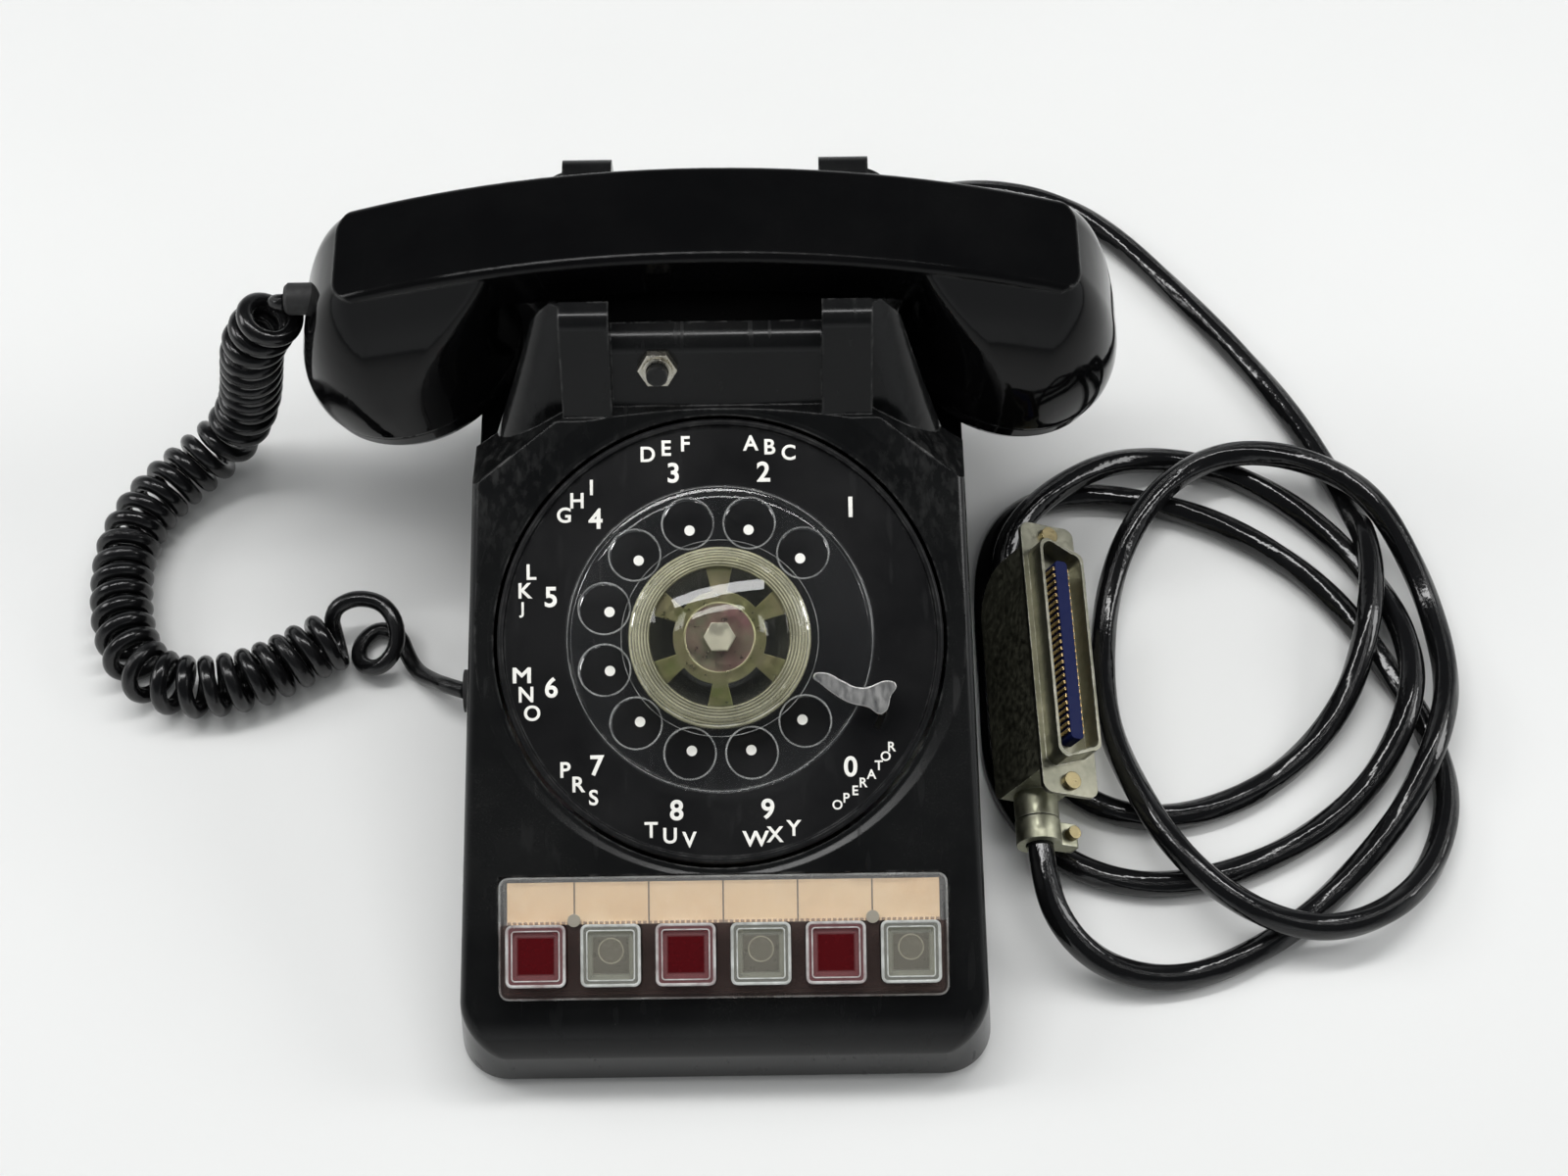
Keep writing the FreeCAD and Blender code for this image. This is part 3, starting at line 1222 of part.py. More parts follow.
def curl_points():
    """Points and directions along the curls, two to a turn, about a smooth axis.

    The turns open out where the axis bends, so that they stay clear of each other inside the bend.
    """
    axis = Part.BSplineCurve()
    axis.buildFromPoles([Vector(*point) for point in CURL_ROUTE], False, 3)
    steps = 500
    stations = axis.discretize(Number=steps + 1)
    across = Vector(0, 1, 0)
    radius = SIZES["curl_radius"]
    room = SIZES["strand"] + SIZES["curl_gap"]
    frames = []
    turned_by = [0.0]
    for index, place in enumerate(stations):
        low, high = max(index - 5, 0), min(index + 5, steps)
        into = (stations[index] - stations[low]) if index > low else (stations[high] - stations[index])
        onto = (stations[high] - stations[index]) if high > index else into
        ahead = (into + onto).normalize()
        across = (across - ahead * across.dot(ahead)).normalize()
        frames.append((place, across, ahead.cross(across)))
        if index:
            bend = into.getAngle(onto) / max((into.Length + onto.Length) / 2, 1e-6)
            pitch = max(SIZES["curl_pitch"], room / (1 - min(radius * bend, 0.6)))
            turned_by.append(turned_by[-1] + (place - stations[index - 1]).Length / pitch)
    turns = math.floor(2 * turned_by[-1]) / 2
    scale = turns / turned_by[-1]

    def at(turn):
        wanted = min(max(turn / scale, 0.0), turned_by[-1])
        index = max(i for i in range(steps) if turned_by[i] <= wanted)
        rest = (wanted - turned_by[index]) / (turned_by[index + 1] - turned_by[index])
        place, side, rise = [a * (1 - rest) + b * rest for a, b in zip(frames[index], frames[index + 1])]
        angle = 2 * math.pi * turn
        return place + side * (radius * math.cos(angle)) + rise * (radius * math.sin(angle))

    small = 2e-3
    result = []
    for index in range(int(2 * turns) + 1):
        turn = index / 2
        low, high = max(turn - small, 0.0), min(turn + small, turns)
        result.append((at(turn), (at(high) - at(low)).normalize()))
    print("curly cord: %.1f turns" % turns)
    return result


def least_self_gap(path, width, skip):
    """Smallest clearance between stretches of a tube that are not neighbours."""
    points = path.discretize(Distance=1.2)
    least = 1e9
    for index, first in enumerate(points):
        for second in points[index + skip:]:
            if abs(first.x - second.x) < least and abs(first.y - second.y) < least:
                least = min(least, first.distanceToPoint(second))
    return least - width


def build_curly_cord():
    places = curl_points()
    edges = []
    lead_in = [Vector(*point) for point in CURL_LEAD_IN]
    heading = (lead_in[1] - lead_in[0]).normalize()
    edges.append(Part.LineSegment(lead_in[0], lead_in[1]).toShape())
    edges += biarc(lead_in[1], heading, places[0][0], places[0][1])
    for (start, tangent), (end, end_tangent) in zip(places, places[1:]):
        edges += biarc(start, tangent, end, end_tangent)
    lead_out = [Vector(*point) for point in CURL_LEAD_OUT]
    leaving = (lead_out[-1] - lead_out[-2]).normalize()
    last_run = lead_out[-1] - leaving * SIZES["strand"]
    edges += biarc(places[-1][0], places[-1][1], last_run, leaving)
    edges.append(Part.LineSegment(last_run, lead_out[-1]).toShape())
    path = Part.Wire(edges)
    radius = SIZES["strand"] / 2
    across = heading.cross(Z_AXIS).normalize()
    rise = heading.cross(across)
    corners = [lead_in[0] + (across * math.cos(turn) + rise * math.sin(turn)) * radius
               for turn in [math.pi * step / 3 for step in range(6)]]
    section = Part.makePolygon(corners + corners[:1])
    thing = DOC.addObject("Part::Feature", "curly_cord_tube")
    thing.Shape = swept(path, section)
    piece(thing, "curly_cord")
    flat = 1.5 * math.sqrt(3) * radius ** 2
    print("curly cord: strand length %.0f, volume ratio %.4f, least self gap %.2f" % (
        path.Length, thing.Shape.Volume / (flat * path.Length), least_self_gap(path, SIZES["strand"], 12)))


def build_grommets():
    cord = turned("cord_grommet_body", [
        (0.0, -4.0), (6.4, -4.0), (6.4, -0.8), (4.4, -0.8), (4.4, 2.9), (5.2, 2.9), (5.2, 5.4), (0.0, 5.4)])
    cord.Placement = Placement(Vector(-74.2, -2.0, 12.0), Rotation(Z_AXIS, X_AXIS))
    piece(cord, "handset_cord_grommet")
    cable = turned("cable_grommet_body", [
        (0.0, -3.7), (8.0, -3.7), (8.0, -0.6), (6.0, -0.6), (6.0, 3.5), (7.2, 3.5), (7.2, 5.4), (0.0, 5.4)])
    cable.Placement = Placement(Vector(20.0, 121.3, 14.0), Rotation(Z_AXIS, -Y_AXIS))
    piece(cable, "line_cable_grommet")


# Connector
def build_connector():
    half, reach, depth = cell("hood_half"), cell("hood_reach"), cell("hood_depth")
    hood = new_body("hood_body")
    side = new_sketch(hood, "hood_side", "YZ_Plane")
    outline(side, [(-reach, 0.0), (-reach, -depth + 3.0, 3.0), (-reach + 3.0, -depth),
                   (reach - 14.0, -depth, 14.0), (reach, -depth + 14.0), (reach, 0.0)])
    pad(hood, side, half * 2, symmetric=True)
    snout = new_sketch(hood, "hood_snout", "XZ_Plane", lift=reach - 2.0)
    circle(snout, 6.4, 0.0, -18.0)
    pad(hood, snout, 10.0)
    hood.Placement = CONNECTOR
    piece(hood, "connector_hood")
    flange, long_reach = cell("flange_half"), cell("flange_reach")
    shell = new_body("shell_body")
    plate = new_sketch(shell, "flange_plan")
    outline(plate, rounded_box(-flange, flange, -long_reach, long_reach, 3.0))
    for end in (-1, 1):
        circle(plate, 1.9, 0.0, end * (SIZES["flange_reach"] - 4.0))
    pad(shell, plate, 1.5)
    wide, tall, wall = cell("shell_half"), cell("shell_reach"), cell("shell_wall")

    def d_outline(inset):
        x, y = wide - inset, tall - inset
        return [(-x + 3.0, -y), (x - 3.0, -y + 3.0, 3.0), (x, -y + 6.0), (x, y - 6.0, 3.0),
                (x - 3.0, y - 3.0), (-x + 3.0, y, 3.0), (-x, y - 3.0), (-x, -y + 3.0, 3.0)]

    ring = new_sketch(shell, "shell_ring", lift=1.0)
    outline(ring, d_outline(0.0))
    pad(shell, ring, cell("shell_height") - 1.0)
    mouth = new_sketch(shell, "shell_mouth", lift=1.5)
    outline(mouth, d_outline(wall))
    pocket(shell, mouth, 20.0, upward=True)
    shell.Placement = CONNECTOR
    piece(shell, "connector_shell")
    span = SIZES["contact_pitch"] * (SIZES["contact_count"] - 1)
    tongue = new_body("tongue_body")
    plan = new_sketch(tongue, "tongue_plan", lift=1.5)
    outline(plan, rounded_box(-2.0, 2.0, -span / 2 - 2.6, span / 2 + 2.6, 1.2))
    pad(tongue, plan, 6.0)
    tongue.Placement = CONNECTOR
    piece(tongue, "connector_insert")
    contacts = []
    for index in range(int(SIZES["contact_count"])):
        y = index * SIZES["contact_pitch"] - span / 2
        for low, high in ((-2.6, -2.0), (2.0, 2.6)):
            contacts.append(box("contact", (low, y - 0.55, 1.5), (high, y + 0.55, 7.2), CONNECTOR))
    piece(group("contact_group", contacts), "connector_contacts")
    jaw = new_body("clamp_body")
    ring = new_sketch(jaw, "clamp_ring", "XZ_Plane", lift=reach + 8.4)
    circle(ring, 6.6, 0.0, -18.0)
    circle(ring, 4.0, 0.0, -18.0)
    pad(jaw, ring, 7.0)
    ear = new_sketch(jaw, "clamp_ear", "XZ_Plane", lift=reach + 8.4)
    outline(ear, rounded_box(5.4, 12.0, -20.5, -15.5, 1.0))
    pad(jaw, ear, 7.0)
    jaw.Placement = CONNECTOR
    piece(jaw, "cable_clamp")
    at = Vector(9.4, -SIZES["hood_reach"] - 11.9, -15.5)
    screw = rod("clamp_screw", 2.0, 2.4, at, Z_AXIS, CONNECTOR)
    screw_y = SIZES["flange_reach"] - 4.0
    ends = [rod("flange_screw", 2.6, 1.6, Vector(0, end * screw_y, 1.5), Z_AXIS, CONNECTOR)
            for end in (-1, 1)]
    piece(group("connector_screw_group", [screw] + ends), "connector_screws")


def write_pieces():
    DOC.recompute()
    for thing in DOC.Objects:
        if "Invalid" in thing.State or "Error" in thing.State:
            raise RuntimeError("%s failed: %s" % (thing.Label, thing.State))
    os.makedirs("parts", exist_ok=True)
    for thing in PIECES:
        shape = thing.Shape
        if shape.isNull() or not shape.isValid() or not shape.Solids:
            raise RuntimeError(thing.Label + " has no valid solid")
        shape.exportStep("parts/%s.step" % thing.Label)
    print(len(PIECES), "sub-parts written")


build_housing()
build_base()
build_number_plate()
build_finger_stop()
build_dial_can()
build_finger_wheel()
build_dial_centre()
build_dial_train()
build_key_strip()
for key_index, key_x in enumerate(key_places(), start=1):
    build_key(key_index, key_x)
build_button()
build_hook_switch()
build_bell()
build_handset()
build_cable()
build_curly_cord()
build_grommets()
build_connector()
write_pieces()
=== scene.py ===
"""Finishes, lettering, cords and stage for a black six-key rotary desk telephone."""

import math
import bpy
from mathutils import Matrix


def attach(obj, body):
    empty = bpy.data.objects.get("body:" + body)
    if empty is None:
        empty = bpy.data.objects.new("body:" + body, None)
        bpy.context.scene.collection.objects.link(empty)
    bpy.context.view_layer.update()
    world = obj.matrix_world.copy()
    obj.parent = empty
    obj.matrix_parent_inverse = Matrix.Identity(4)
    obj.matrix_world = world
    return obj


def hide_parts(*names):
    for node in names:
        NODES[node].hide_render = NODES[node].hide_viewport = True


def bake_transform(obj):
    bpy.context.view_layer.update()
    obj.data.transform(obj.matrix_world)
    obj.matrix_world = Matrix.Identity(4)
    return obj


bl_info = {
    "name": "Rotary desk telephone",
    "version": (1, 0, 0),
    "blender": (4, 5, 0),
    "location": "View3D > Sidebar > Telephone",
    "description": "Dresses the CAD model of a six-key rotary telephone",
    "category": "Object",
}

import bpy
from mathutils import Matrix, Vector

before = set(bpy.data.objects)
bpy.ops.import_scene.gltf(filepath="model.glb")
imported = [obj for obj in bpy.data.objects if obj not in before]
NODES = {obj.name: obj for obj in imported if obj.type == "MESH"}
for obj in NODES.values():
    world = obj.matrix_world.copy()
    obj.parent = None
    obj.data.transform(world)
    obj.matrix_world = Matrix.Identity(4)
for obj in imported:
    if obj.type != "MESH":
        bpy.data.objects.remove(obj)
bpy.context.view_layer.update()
MM = 0.001

PANEL_SLOPE = math.radians(24)
# Middle of the real scuffs and painted sheen on the housing's shoulders.
SHOULDER_SHEEN_SPOT = (0.066, 0.024, 0.0905)
DIAL_CENTRE = Vector((0, -0.019, 0.072))
PANEL = Matrix.Translation(DIAL_CENTRE) @ Matrix.Rotation(PANEL_SLOPE, 4, "X")
HOLE_ANGLES = [45 - 30 * number for number in range(10)]
LETTERS = {2: "ABC", 3: "DEF", 4: "GHI", 5: "JKL", 6: "MNO", 7: "PRS", 8: "TUV", 9: "WXY"}
WIDE_LETTERS = {"M": 1.25, "W": 1.12}
KEY_PITCH = 0.0206
KEY_LEVEL = -0.087
KEY_WINDOW = 0.0048
KEYS = {number: (number - 3.5) * KEY_PITCH for number in range(1, 7)}
RED_KEYS = (1, 3, 5)
CLEAR_KEYS = (2, 4, 6)
CURL_LIFT = Vector((0.0002, 0, 0.0002))
# Each curl has so many steps; a few lead in from the handset, and the last ones give way to opened loops.
CURL_STEPS = 20
STEPS_LED_IN = 3
STEPS_OPENED = 32
CABLE_CORES = 5

# Outlines and routes are in millimetres.
CAP_PROFILE = [(25.2, 6.8), (25.2, 8.2), (23.6, 9.1), (23.0, 10.4), (19.7, 11.6)]
STOP_FOOT = [(47.7, -13.9), (44.5, -21.6)]
STOP_OUTLINE = [
    (26.0, -11.2), (28.4, -10.4), (33.8, -12.8), (37.3, -14.5), (40.9, -14.6), (43.8, -13.5), (46.0, -12.9),
    (48.3, -13.8), (47.0, -16.6), (44.6, -21.5), (40.8, -19.7), (35.8, -18.4), (31.6, -16.0), (27.3, -12.5)]
CABLE_ROUTE = [
    (20, 125, 14), (20, 140, 12.5), (25, 156, 9), (38, 173, 5.5), (60, 186, 4.1), (87, 190, 4.1),
    (113, 183, 4.1), (133, 165, 4.1), (150, 143, 4.1), (167, 120, 4.1), (181, 97, 4.1),
    (190.5, 76, 4.2), (196, 60, 5.5), (198, 46, 12.8), (197.5, 30, 14), (194, 12, 13.4),
    (187, -6, 7.5), (174, -23, 4.1), (155, -37, 4.1), (134, -44, 4.1), (113, -42, 4.1),
    (97.5, -30, 4.1), (91, -13, 4.1), (90, 6, 5.5), (86.8, 24, 10.3), (85, 40, 13.8), (91, 54, 14),
    (104, 66.5, 13.8), (119.5, 76.5, 11), (137, 81, 5.5), (156, 78, 4.1), (175, 66.5, 4.1),
    (191, 50, 4.1), (202, 32, 4.5), (207, 13, 9.5), (206, -6, 13.6), (200, -22, 11), (188, -38, 5),
    (170, -52, 4.1), (148, -62, 4.1), (126, -66, 4.1), (104, -61, 4.1), (88, -47, 4.1),
    (80.6, -28, 4.1), (80.1, -6, 4.1), (80.2, 14, 4.1), (80.2, 31, 4.1), (81.5, 46, 4.1),
    (86.5, 58, 4.1), (96.5, 66, 4.1), (111, 69, 4.1), (128, 67, 4.1), (146, 61.5, 4.1),
    (163, 52.5, 4.1), (179, 39.5, 4.1), (192, 23, 4.1), (202, 3, 4.1), (211, -16, 4.1),
    (214.5, -37, 4.3), (208, -59, 6), (194, -76, 11), (176, -84, 13.6), (158, -81.5, 13.6),
    (142, -71, 13.6), (128.5, -55, 13.6), (119, -35, 12.8), (114, -13, 8), (114, 9, 5.5),
    (117, 30, 7), (124, 49, 12.5), (136, 66, 14), (153, 77, 13.4), (171, 78, 13.5),
    (187.5, 71, 15.5), (201, 58.5, 16.2), (211, 41, 10), (216.5, 21, 6.5), (217.5, -2, 10.5),
    (211, -24, 13.8), (201, -42, 8.5), (187, -59, 4.3), (169, -76, 4.1), (149, -89, 4.1),
    (128.5, -95.5, 4.5), (110.5, -93.5, 8), (98, -85, 13.5), (91.09, -71.28, 18.29),
    (90.47, -51.32, 19.34)]
CURL_ROUTE = [
    (-129, 80, 93), (-137.5, 81, 79), (-141, 84, 62), (-144, 88, 45), (-148, 90, 28), (-156, 87, 15),
    (-168, 79, 10.6), (-179, 67.5, 9.9), (-185.5, 53, 9.8), (-186, 36, 9.8), (-183.5, 20, 9.8),
    (-176.5, 6.5, 9.8), (-163, 1, 9.8), (-148, 2.5, 9.9), (-134.5, 8, 9.9), (-122, 16, 10.5),
    (-109, 20.5, 11.6)]
CURL_START = [(-125, 80, 98), (-130, 80, 98)]
CURL_END = [
    (-118.5, 27, 13.5), (-112, 29, 15.5), (-104, 27, 15.5), (-99.5, 20.5, 14.5), (-99.5, 13, 11),
    (-105, 8.5, 7), (-111.5, 11.5, 4), (-112.5, 19, 3.2), (-107, 25, 3.3), (-100, 22.5, 3.6),
    (-97.5, 15.5, 3.2), (-94, 9.5, 3), (-88.5, 4.8, 6), (-84.5, 1, 10.5), (-81, -0.7, 11.3), (-78, -2, 12)]


def size_prop(name, description, default):
    return bpy.props.FloatProperty(name=name, description=description, default=default, unit="LENGTH")


def sides_prop(name, description, default):
    return bpy.props.FloatVectorProperty(name=name, description=description, default=default, size=2,
                                         unit="LENGTH")


def angle_prop(name, description, degrees):
    return bpy.props.FloatProperty(name=name, description=description, default=math.radians(degrees),
                                   subtype="ANGLE")


def number_prop(name, description, default):
    return bpy.props.FloatProperty(name=name, description=description, default=default)


def colour_prop(name, description, default):
    return bpy.props.FloatVectorProperty(name=name, description=description, default=default,
                                         subtype="COLOR")


class CordSizes(bpy.types.PropertyGroup):
    """Sizes of the two cords."""

    cable_diameter: size_prop("Cable diameter", "Outside diameter of the line cable", 0.008)
    cable_length: size_prop("Cable length", "Length of the line cable", 1.766)
    lay_depth: size_prop("Lay depth", "How far the cable's skin sinks between its twisted cores", 0.00028)
    lay_pitch: size_prop("Lay pitch", "Length in which the twisted cores turn once", 0.045)
    strand_diameter: size_prop("Strand diameter", "Diameter of the curly cord's strand", 0.005)
    strand_length: size_prop("Strand length", "Length of the curly cord's strand", 1.7)
    curl_radius: size_prop("Curl radius", "Radius of the curls at the strand's middle", 0.0072)
    curl_pitch: size_prop("Curl pitch", "Least distance from curl to curl", 0.0059)
    curl_turns: number_prop("Curls", "Number of curls", 37.0)
    hang_stretch: number_prop("Hang stretch", "How much more open the curls are where the cord hangs", 1.22)
    hang_height: size_prop("Hang height", "Height above which the cord hangs free", 0.03)


class DialSizes(bpy.types.PropertyGroup):
    """Sizes of the dial's lettering, of its clear edges and of the cap's ridges."""

    digit_radius: size_prop("Digit circle", "Radius of the circle of numbers", 0.049)
    one_radius: size_prop("One's radius", "Distance of the one from the dial's centre", 0.0523)
    zero_radius: size_prop("Zero's radius", "Distance of the zero from the dial's centre", 0.0507)
    digit_height: size_prop("Digit height", "Height of the numbers", 0.0058)
    digit_weight: number_prop("Digit weight", "Added stroke of the numbers", 0.024)
    letter_radius: size_prop("Letter circle", "Radius of the circle of letters", 0.0563)
    letter_height: size_prop("Letter height", "Height of the letters", 0.0044)
    letter_weight: number_prop("Letter weight", "Added stroke of the letters", 0.0224)
    letter_step: angle_prop("Letter step", "Angle between letters", 5.6)
    word_radius: size_prop("Word circle", "Radius of the word by the zero", 0.0564)
    word_height: size_prop("Word height", "Height of the word by the zero", 0.0027)
    word_weight: number_prop("Word weight", "Added stroke of the word by the zero", 0.0192)
    word_start: angle_prop("Word start", "Angle of the word's first letter", 145.4)
    word_end: angle_prop("Word end", "Angle of the word's last letter", 122.7)
    figure_lift: size_prop("Figure lift", "Height of the figures' middle above the plate", 0.00003)
    dot_radius: size_prop("Dot radius", "Radius of the dots in the finger holes", 0.00145)
    dot_circle: size_prop("Dot circle", "Radius of the circle of dots", 0.032)
    dot_lift: size_prop("Dot lift", "Height of the dots' middle above the plate", 0.00005)
    dot_depth: size_prop("Dot depth", "Thickness of the dots", 0.00016)
    hole_circle: size_prop("Hole circle", "Radius of the circle of finger holes", 0.0331)
    hole_edge: size_prop("Hole edge", "Radius of the bead round a finger hole", 0.00718)
    hole_bead: size_prop("Hole bead", "Radius of that bead's own section", 0.00026)
    hole_level: size_prop("Hole level", "Height of the finger holes' beads", 0.007)
    outer_edge: size_prop("Outer edge", "Radius of the wheel's outer bead", 0.0424)
    outer_level: size_prop("Outer level", "Height of the wheel's outer bead", 0.0059)
    inner_edge: size_prop("Inner edge", "Radius of the wheel's inner bead", 0.0274)
    inner_level: size_prop("Inner level", "Height of the wheel's inner bead", 0.0065)
    wheel_bead: size_prop("Wheel bead", "Radius of those two beads' own section", 0.00013)
    ridge_step: size_prop("Ridge step", "Distance from ridge to ridge on the cap", 0.0011)
    ridge_rise: size_prop("Ridge rise", "Height of the ridges", 0.0002)
    ridge_foot: size_prop("Ridge foot", "Height of the valleys above the cap", 0.00004)
    ridge_wall: size_prop("Ridge wall", "Thickness of the ridged ring", 0.0004)


class StopSizes(bpy.types.PropertyGroup):
    """Sizes of the finger stop."""

    level: size_prop("Level", "Height of the arm's middle above the number plate", 0.0083)
    core: size_prop("Core", "Half the thickness of the arm between its rims", 0.0003)
    rim: size_prop("Rim", "Radius of the arm's rounded rims", 0.0003)
    foot_thickness: size_prop("Foot thickness", "Thickness of the upright foot", 0.0011)
    foot_height: size_prop("Foot height", "Height of the upright foot", 0.0086)
    foot_middle: size_prop("Foot middle", "Height of the foot's middle above the number plate", 0.0042)
    foot_edge: size_prop("Foot edge", "Radius of the foot's rounded edges", 0.0004)


class KeySizes(bpy.types.PropertyGroup):
    """Sizes of what is seen in and round the keys; heights are above the panel."""

    cap_sides: sides_prop("Cap sides", "Sides of the bead round a key cap", (0.0157, 0.0163))
    cap_corner: size_prop("Cap corner", "Corner radius of that bead", 0.0014)
    cap_bead: size_prop("Cap bead", "Radius of that bead's own section", 0.00045)
    cap_level: size_prop("Cap level", "Height of that bead", 0.0074)
    rim_sides: sides_prop("Rim sides", "Sides of the thin bead round a key's window", (0.0130, 0.0136))
    rim_corner: size_prop("Rim corner", "Corner radius of the thin bead", 0.0008)
    rim_bead: size_prop("Rim bead", "Radius of the thin bead's own section", 0.0002)
    rim_rise: size_prop("Rim rise", "Height of the thin bead above the bead round the cap", 0.0001)
    cover_sides: sides_prop("Cover sides", "Sides of the bead round the cover", (0.1236, 0.0332))
    cover_corner: size_prop("Cover corner", "Corner radius of the cover's bead", 0.0025)
    cover_bead: size_prop("Cover bead", "Radius of the cover's bead", 0.0003)
    cover_middle: size_prop("Cover middle", "Place of the cover's middle up the slope", -0.0823)
    cover_level: size_prop("Cover level", "Height of the cover's bead", 0.0025)
    seat_sides: sides_prop("Seat sides", "Outer sides of the seat round a lens", (0.0128, 0.0134))
    seat_corner: size_prop("Seat corner", "Corner radius of the seat", 0.0007)
    seat_width: size_prop("Seat width", "Width of the seat's collar", 0.00145)
    seat_depth: size_prop("Seat depth", "Thickness of the seat", 0.0007)
    seat_edge: size_prop("Seat edge", "Radius of the seat's rounded edges", 0.00015)
    seat_level: size_prop("Seat level", "Height of the seat's upper face", 0.00535)
    disc_radius: size_prop("Disc radius", "Radius of the disc in a clear lens", 0.0034)
    disc_depth: size_prop("Disc depth", "Thickness of that disc", 0.00012)
    disc_edge: size_prop("Disc edge", "Radius of the disc's rounded edges", 0.00004)
    disc_shift: size_prop("Disc shift", "How far the disc lies nearer the card", 0.0012)
    disc_level: size_prop("Disc level", "Height of the disc's middle", 0.00556)
    ring_bead: size_prop("Ring bead", "Radius of the bead round the disc", 0.00022)
    ring_level: size_prop("Ring level", "Height of the bead round the disc", 0.0056)


class FinishColours(bpy.types.PropertyGroup):
    """Colours of the finishes."""

    shell: colour_prop("Housing", "Black moulding", (0.0038, 0.004, 0.0042))
    handset: colour_prop("Handset", "Glossy black moulding", (0.002, 0.002, 0.0022))
    plate: colour_prop("Number plate", "Matte black plate", (0.0035, 0.0035, 0.004))
    figures: colour_prop("Figures", "White figures", (0.86, 0.85, 0.8))
    card: colour_prop("Card", "Ivory card", (0.67, 0.50, 0.315))
    red: colour_prop("Red lens", "Red key lens", (0.115, 0.003, 0.008))
    grey: colour_prop("Clear lens", "Clear key lens", (0.10, 0.095, 0.08))
    cord: colour_prop("Cords", "Skin of the cords", (0.0032, 0.0032, 0.0035))
    olive: colour_prop("Hood", "Olive plating of the connector's hood", (0.36, 0.36, 0.27))
    # Pale colour of the beads that paint highlights on the clear mouldings' rounded edges.
    clear_edge: colour_prop("Clear edges", "Rounded edges of the clear mouldings", (0.40, 0.41, 0.40))
    # Yellowed tint of the cap's ridges, shown mostly on their crests as a painted glint.
    yellow_edge: colour_prop("Cap ridges", "Yellowed ridges of the dial's cap", (0.66, 0.64, 0.45))
    insert: colour_prop("Insert", "Blue moulding between the contacts", (0.003, 0.007, 0.05))


class StageSizes(bpy.types.PropertyGroup):
    """Camera and floor."""

    camera_place: bpy.props.FloatVectorProperty(
        name="Camera place", description="Where the camera stands", subtype="TRANSLATION",
        default=(0.018011, -0.41764, 0.791009))
    camera_slope: angle_prop("Camera slope", "How far the camera looks down", 60)
    camera_roll: angle_prop("Camera roll", "Turn of the camera about its view", 0.8)
    lens: number_prop("Lens", "Focal length in millimetres", 67.5)
    floor_colour: colour_prop("Floor", "Colour of the floor", (0.755, 0.76, 0.75))
    floor_reach: size_prop("Floor size", "Side of the floor", 6.0)


def metres(points):
    """Places in metres from millimetres."""
    return [Vector(point) * MM for point in points]


def spline_points(route, closeness):
    """Points along the smooth NURBS line that has the route as its control points."""
    curve = bpy.data.curves.new("route", "CURVE")
    curve.dimensions = "3D"
    curve.resolution_u = closeness
    spline = curve.splines.new("NURBS")
    spline.points.add(len(route) - 1)
    for point, place in zip(spline.points, route):
        point.co = (*place, 1.0)
    spline.order_u = 3
    spline.use_endpoint_u = True
    carrier = bpy.data.objects.new("route", curve)
    mesh = bpy.data.meshes.new_from_object(carrier)
    points = [vertex.co.copy() for vertex in mesh.vertices]
    bpy.data.objects.remove(carrier)
    bpy.data.curves.remove(curve)
    bpy.data.meshes.remove(mesh)
    return points


def evenly(points, gap):
    """The line's points, thinned so that neighbours stand about one gap apart."""
    kept = [points[0]]
    for point in points[1:-1]:
        if (point - kept[-1]).length >= gap:
            kept.append(point)
    if (points[-1] - kept[-1]).length < gap / 2:
        kept.pop()
    kept.append(points[-1])
    return kept


def tube(name, points, radius, sides, lay_depth=0.0, lay_pitch=1.0, lay_count=1):
    """Closed tube along the points; its skin may swell and sink over twisted cores."""
    across = Vector((0, 0, 1))
    places = []
    faces = []
    along = []
    run = 0.0
    for index, point in enumerate(points):
        before = points[max(index - 1, 0)]
        after = points[min(index + 1, len(points) - 1)]
        ahead = (after - before).normalized()
        across = (across - ahead * across.dot(ahead)).normalized()
        rise = ahead.cross(across)
        run += (point - before).length
        for side in range(sides):
            angle = 2 * math.pi * side / sides
            swell = math.cos(lay_count * angle - 2 * math.pi * run / lay_pitch)
            reach = radius - lay_depth * (1 - swell) / 2
            places.append(point + (across * math.cos(angle) + rise * math.sin(angle)) * reach)
            along.append((run, side / sides))
    rings = len(points)
    for row in range(rings - 1):
        for side in range(sides):
            after = (side + 1) % sides
            low = row * sides
            faces.append((low + side, low + after, low + sides + after, low + sides + side))
    faces.append(tuple(reversed(range(sides))))
    faces.append(tuple((rings - 1) * sides + side for side in range(sides)))
    mesh = bpy.data.meshes.new(name)
    mesh.from_pydata(places, [], faces)
    mesh.update()
    mesh.polygons.foreach_set("use_smooth", [len(face.vertices) == 4 for face in mesh.polygons])
    run_uv = mesh.uv_layers.new(name="run")
    for loop in mesh.loops:
        run_uv.data[loop.index].uv = along[loop.vertex_index]
    thing = bpy.data.objects.new(name, mesh)
    bpy.context.scene.collection.objects.link(thing)
    return thing


